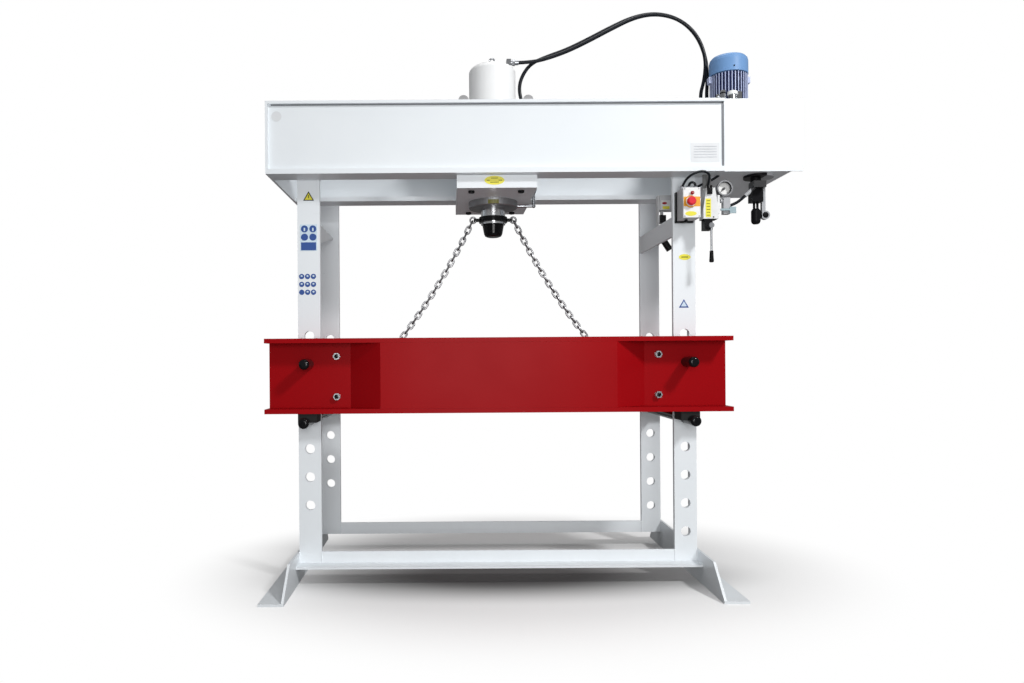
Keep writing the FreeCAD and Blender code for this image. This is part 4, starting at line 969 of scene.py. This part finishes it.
def addBoltEnds():
    s = boltSettings
    spots = [(side * s["x"], z) for side in (-1, 1) for z in s["z"]]
    roundsPiece("boltEnds", [((x, s["endY"], z), *s["end"]) for x, z in spots], blackSteel)
    turnedPiece("boltWashers", squareRing(*s["washer"]), [(x, s["washerY"], z) for x, z in spots],
                forwards, 36, caseSteel)


motorSettings = {
    "boltCircle": 0.067, "nutZ": 2.0235, "nut": (0.0065, 0.007, "Z", 6, 0.0008), "studZ": 2.0345,
    "stud": (0.004, 0.016, "Z", 16), "screwCircle": 0.0822, "screwZ": 2.215, "screwTurn": -94,
    "screwRadii": (0.0042, 0.0032), "screwLength": 0.004, "grilleRadii": (0.012, 0.018, 0.024, 0.03, 0.036),
    "grilleHalf": 0.001, "grilleHigh": 0.0015, "grilleZ": 2.2808, "spokeZ": 2.2815, "spokeRadius": 0.024,
    "spoke": (0.028, 0.002, 0.0012), "spokes": 6,
}


def addMotorParts():
    s = motorSettings
    x, y = motorAxis
    bolts = []
    for n in range(4):
        turn = math.radians(45 + 90 * n)
        spot = (x + s["boltCircle"] * math.cos(turn), y + s["boltCircle"] * math.sin(turn))
        bolts += [((*spot, s["nutZ"]), *s["nut"]), ((*spot, s["studZ"]), *s["stud"])]
    roundsPiece("motorBolts", bolts, zincPlate)
    bm = bmesh.new()
    reach, (base, tip) = s["screwCircle"], s["screwRadii"]
    for n in range(3):
        turn = math.radians(s["screwTurn"] + 120 * n)
        spot = place(x + reach * math.cos(turn), y + reach * math.sin(turn), s["screwZ"])
        stand = Matrix.Translation(spot) @ Matrix.Rotation(turn, 4, "Z")
        bmesh.ops.create_cone(bm, cap_ends=True, segments=20, radius1=base, radius2=tip,
                              depth=s["screwLength"], matrix=stand @ quarterY)
    finish("coverFasteners", bm, blackSteel)
    bm = bmesh.new()
    for radius in s["grilleRadii"]:
        ring = squareRing(radius - s["grilleHalf"], radius + s["grilleHalf"], s["grilleHigh"])
        addTurned(bm, ring, place(x, y, s["grilleZ"]), upwards, 40)
    for n in range(s["spokes"]):
        turn = Matrix.Rotation(math.radians(360 / s["spokes"] * n), 4, "Z")
        stand = Matrix.Translation(place(x, y, s["spokeZ"])) @ turn
        addBlock(bm, stand @ Matrix.Translation((s["spokeRadius"], 0, 0)), s["spoke"])
    finish("fanGrille", bm, motorPaint)


tankSettings = {
    "y": -0.185, "lidZ": 2.0102, "neckSpot": (1.02, -0.185, 2.0402), "neck": (0.017, 0.06, "Z", 28, 0.002),
    "fittings": [(0.957, 0.008, 2.072), (0.979, 0.012, 2.09), (1.048, 0.013, 2.084), (1.112, 0.012, 2.034)],
    "capSpot": (1.02, -0.185, 2.0704),
    "cap": [(0, 0), (0.021, 0), (0.022, 0.004), (0.02, 0.014), (0.012, 0.018), (0, 0.018)],
    "darkParts": [((1.112, -0.185, 2.0402), 0.01, 0.012, "Z", 24, 0.002),
                  ((0.979, -0.185, 2.078), 0.0128, 0.005, "Z", 24, 0.001),
                  ((1.134, -0.235, 1.544), 0.0129, 0.015, "Y", 28, 0.001)],
}


def addTankParts():  # filler cap and short fittings on the lid, and the dark bush in the link's eye
    s = tankSettings
    necks = [(s["neckSpot"], *s["neck"])]
    for x, radius, top in s["fittings"]:
        necks.append(((x, s["y"], (top + s["lidZ"]) / 2), radius, top - s["lidZ"], "Z", 6, 0.001))
    roundsPiece("tankNecks", necks, zincPlate)
    turnedPiece("fillerCap", s["cap"], [s["capSpot"]], upwards, 32, coverPlastic)
    roundsPiece("eyeBush", s["darkParts"], gripBlack)


nutSettings = {
    "tankNuts": [((0.947, -0.014, 2.046), 0.0125, 0.012, "Z", 6, 0.001),
                 ((0.985, 0.014, 2.046), 0.0125, 0.012, "Z", 6, 0.001)],
    "cylinderNuts": [((0.096, -0.014, 2.283), 0.0145, 0.012, "X", 6, 0.001),
                     ((0.186, 0.014, 1.712), 0.0142, 0.012, "Z", 6, 0.001)],
}


def addHoseNuts():
    roundsPiece("tankNuts", nutSettings["tankNuts"], zincPlate)
    roundsPiece("cylinderNuts", nutSettings["cylinderNuts"], zincPlate, "carriage")


# weld beads where the frame's plates meet

weldSettings = {
    "radius": 0.0032, "step": 0.0045, "sides": 8, "swell": (0.82, 0.18, 2.1), "inner": 0.75,
    "outer": 0.845, "plateY": (-0.2175, -0.1975, 0.3275), "plateZ": (0.077, 0.13),
    "footY": -0.218, "footZ": (0.084, 0.128), "footRun": (-0.288, -0.22), "footTop": 0.0835,
    "beamY": -0.217, "beamZ": 1.7095, "tieX": -0.79, "tieTop": 1.5505,
    "ties": [(-0.197, 1.445), (0.327, 1.545)],
}


def addWeld(bm, start, end):
    s = weldSettings
    base, swing, pace = s["swell"]
    way = end - start
    count = max(3, int(way.length / s["step"]))
    turn = way.normalized().to_track_quat("Z", "Y").to_matrix().to_4x4()
    rings = []
    for n in range(count + 1):
        radius = s["radius"] * (base + swing * math.sin(n * pace))
        stand = Matrix.Translation(start + way * n / count) @ turn
        rings.append(bmesh.ops.create_circle(bm, segments=s["sides"], radius=radius, matrix=stand)["verts"])
    joinRings(bm, rings)


def addWelds():
    s = weldSettings
    bm = bmesh.new()
    for side in (-1, 1):
        inner, outer = side * s["inner"], side * s["outer"]
        for y in s["plateY"]:
            addWeld(bm, *(place(inner, y, z) for z in s["plateZ"]))
        addWeld(bm, *(place(outer, s["footY"], z) for z in s["footZ"]))
        addWeld(bm, *(place(outer, y, s["footTop"]) for y in s["footRun"]))
        addWeld(bm, *(place(x, s["beamY"], s["beamZ"]) for x in (inner, outer)))
    for y, low in s["ties"]:
        addWeld(bm, place(s["tieX"], y, low), place(s["tieX"], y, s["tieTop"]))
    finish("weldBeads", bm, whitePaint)


addSwitchParts()
addValveParts()
addGauge()
addCarriageHeads()
addSeams()
addBoltEnds()
addMotorParts()
addTankParts()
addHoseNuts()
addWelds()
print("fittings ready")


# floor and light

pureWhite = (1, 1, 1, 1)
floorSettings = {
    # shade is the colour of the floor's painted shadow under the press; shadeShift, shadeScale and shadeReach
    # place and fade it
    "size": 12.0, "pale": (0.93, 0.93, 0.93), "bounce": (0.22, 0.22, 0.22), "shade": (0.1, 0.095, 0.095),
    "shadeShift": (0.1, 0.36, 0.0), "shadeScale": (0.85, 2.6, 1.0), "shadeReach": (0.25, 1.05),
    "glowScale": (0.7, 0.95, 1.0), "glowReach": (0.55, 1.15),
}


def floorReach(tree, shift, scale, limits):  # from 0 under the press to 1 out on the open floor
    stretch = newNode(tree, "Mapping", Location=shift, Scale=scale)
    tree.links.new(objectPoint(tree), stretch.inputs["Vector"])
    length = newNode(tree, "VectorMath")
    length.operation = "LENGTH"
    tree.links.new(stretch.outputs["Vector"], length.inputs[0])
    return smoothRange(tree, length.outputs["Value"], *limits)


def addFloor():  # pale to the camera with a painted shadow under the press, darker to the light, and pure white away from the press
    s = floorSettings
    bm = bmesh.new()
    bmesh.ops.create_grid(bm, x_segments=1, y_segments=1, size=s["size"])
    mesh = takeMesh(bm, "floor")
    floor = newObject("floor", mesh)
    material, tree, shader = newMaterial("paleFloor", s["pale"], 0.7)
    seen = newNode(tree, "LightPath").outputs["Is Camera Ray"]
    # painted shadow: the floor's colour to the camera goes to the shade colour under the press
    lit = floorReach(tree, s["shadeShift"], s["shadeScale"], s["shadeReach"])
    ground = mixColor(tree, lit, s["shade"], s["pale"])
    tree.links.new(mixColor(tree, seen, s["bounce"], ground), shader.inputs["Base Color"])
    glow = newNode(tree, "Emission", Color=pureWhite)
    away = floorReach(tree, (0.0, 0.0, 0.0), s["glowScale"], s["glowReach"])
    mixer = newNode(tree, "MixShader")
    tree.links.new(times(tree, away, seen), mixer.inputs["Fac"])
    tree.links.new(shader.outputs["BSDF"], mixer.inputs[1])
    tree.links.new(glow.outputs["Emission"], mixer.inputs[2])
    tree.links.new(mixer.outputs["Shader"], tree.nodes["Material Output"].inputs["Surface"])
    mesh.materials.append(material)


lampSettings = {  # spot, aim, size and power
    "key": ((2.9, -3.5, 4.3), (0.0, 0.0, 1.1), 0.6, 165.0),
    "front": ((0.0, -4.9, 1.25), (0.0, 0.3, 1.4), 1.8, 100.0),
    "top": ((0.2, 0.1, 4.6), (0.0, 0.0, 1.0), 2.2, 40.0),
}


def addLamps():
    for name, (spot, aim, size, power) in lampSettings.items():
        lamp = bpy.data.lights.new(name, "AREA")
        lamp.energy = power
        lamp.size = size
        holder = newObject(name, lamp)
        holder.location = spot
        holder.rotation_euler = (Vector(aim) - Vector(spot)).to_track_quat("-Z", "Y").to_euler()


worldSettings = {"light": 0.3, "background": 1.0}


def addWorld():  # a dim white light, with a pure white background to the camera
    world = bpy.data.worlds.new("studio")
    scene.world = world
    world.use_nodes = True
    tree = world.node_tree
    air = tree.nodes["Background"]
    setInputs(air, {"Color": pureWhite, "Strength": worldSettings["light"]})
    white = newNode(tree, "Background", Color=pureWhite, Strength=worldSettings["background"])
    path = newNode(tree, "LightPath")
    mixer = newNode(tree, "MixShader")
    tree.links.new(path.outputs["Is Camera Ray"], mixer.inputs["Fac"])
    tree.links.new(air.outputs["Background"], mixer.inputs[1])
    tree.links.new(white.outputs["Background"], mixer.inputs[2])
    tree.links.new(mixer.outputs["Shader"], tree.nodes["World Output"].inputs["Surface"])


addFloor()
addLamps()
addWorld()
print("stage ready")
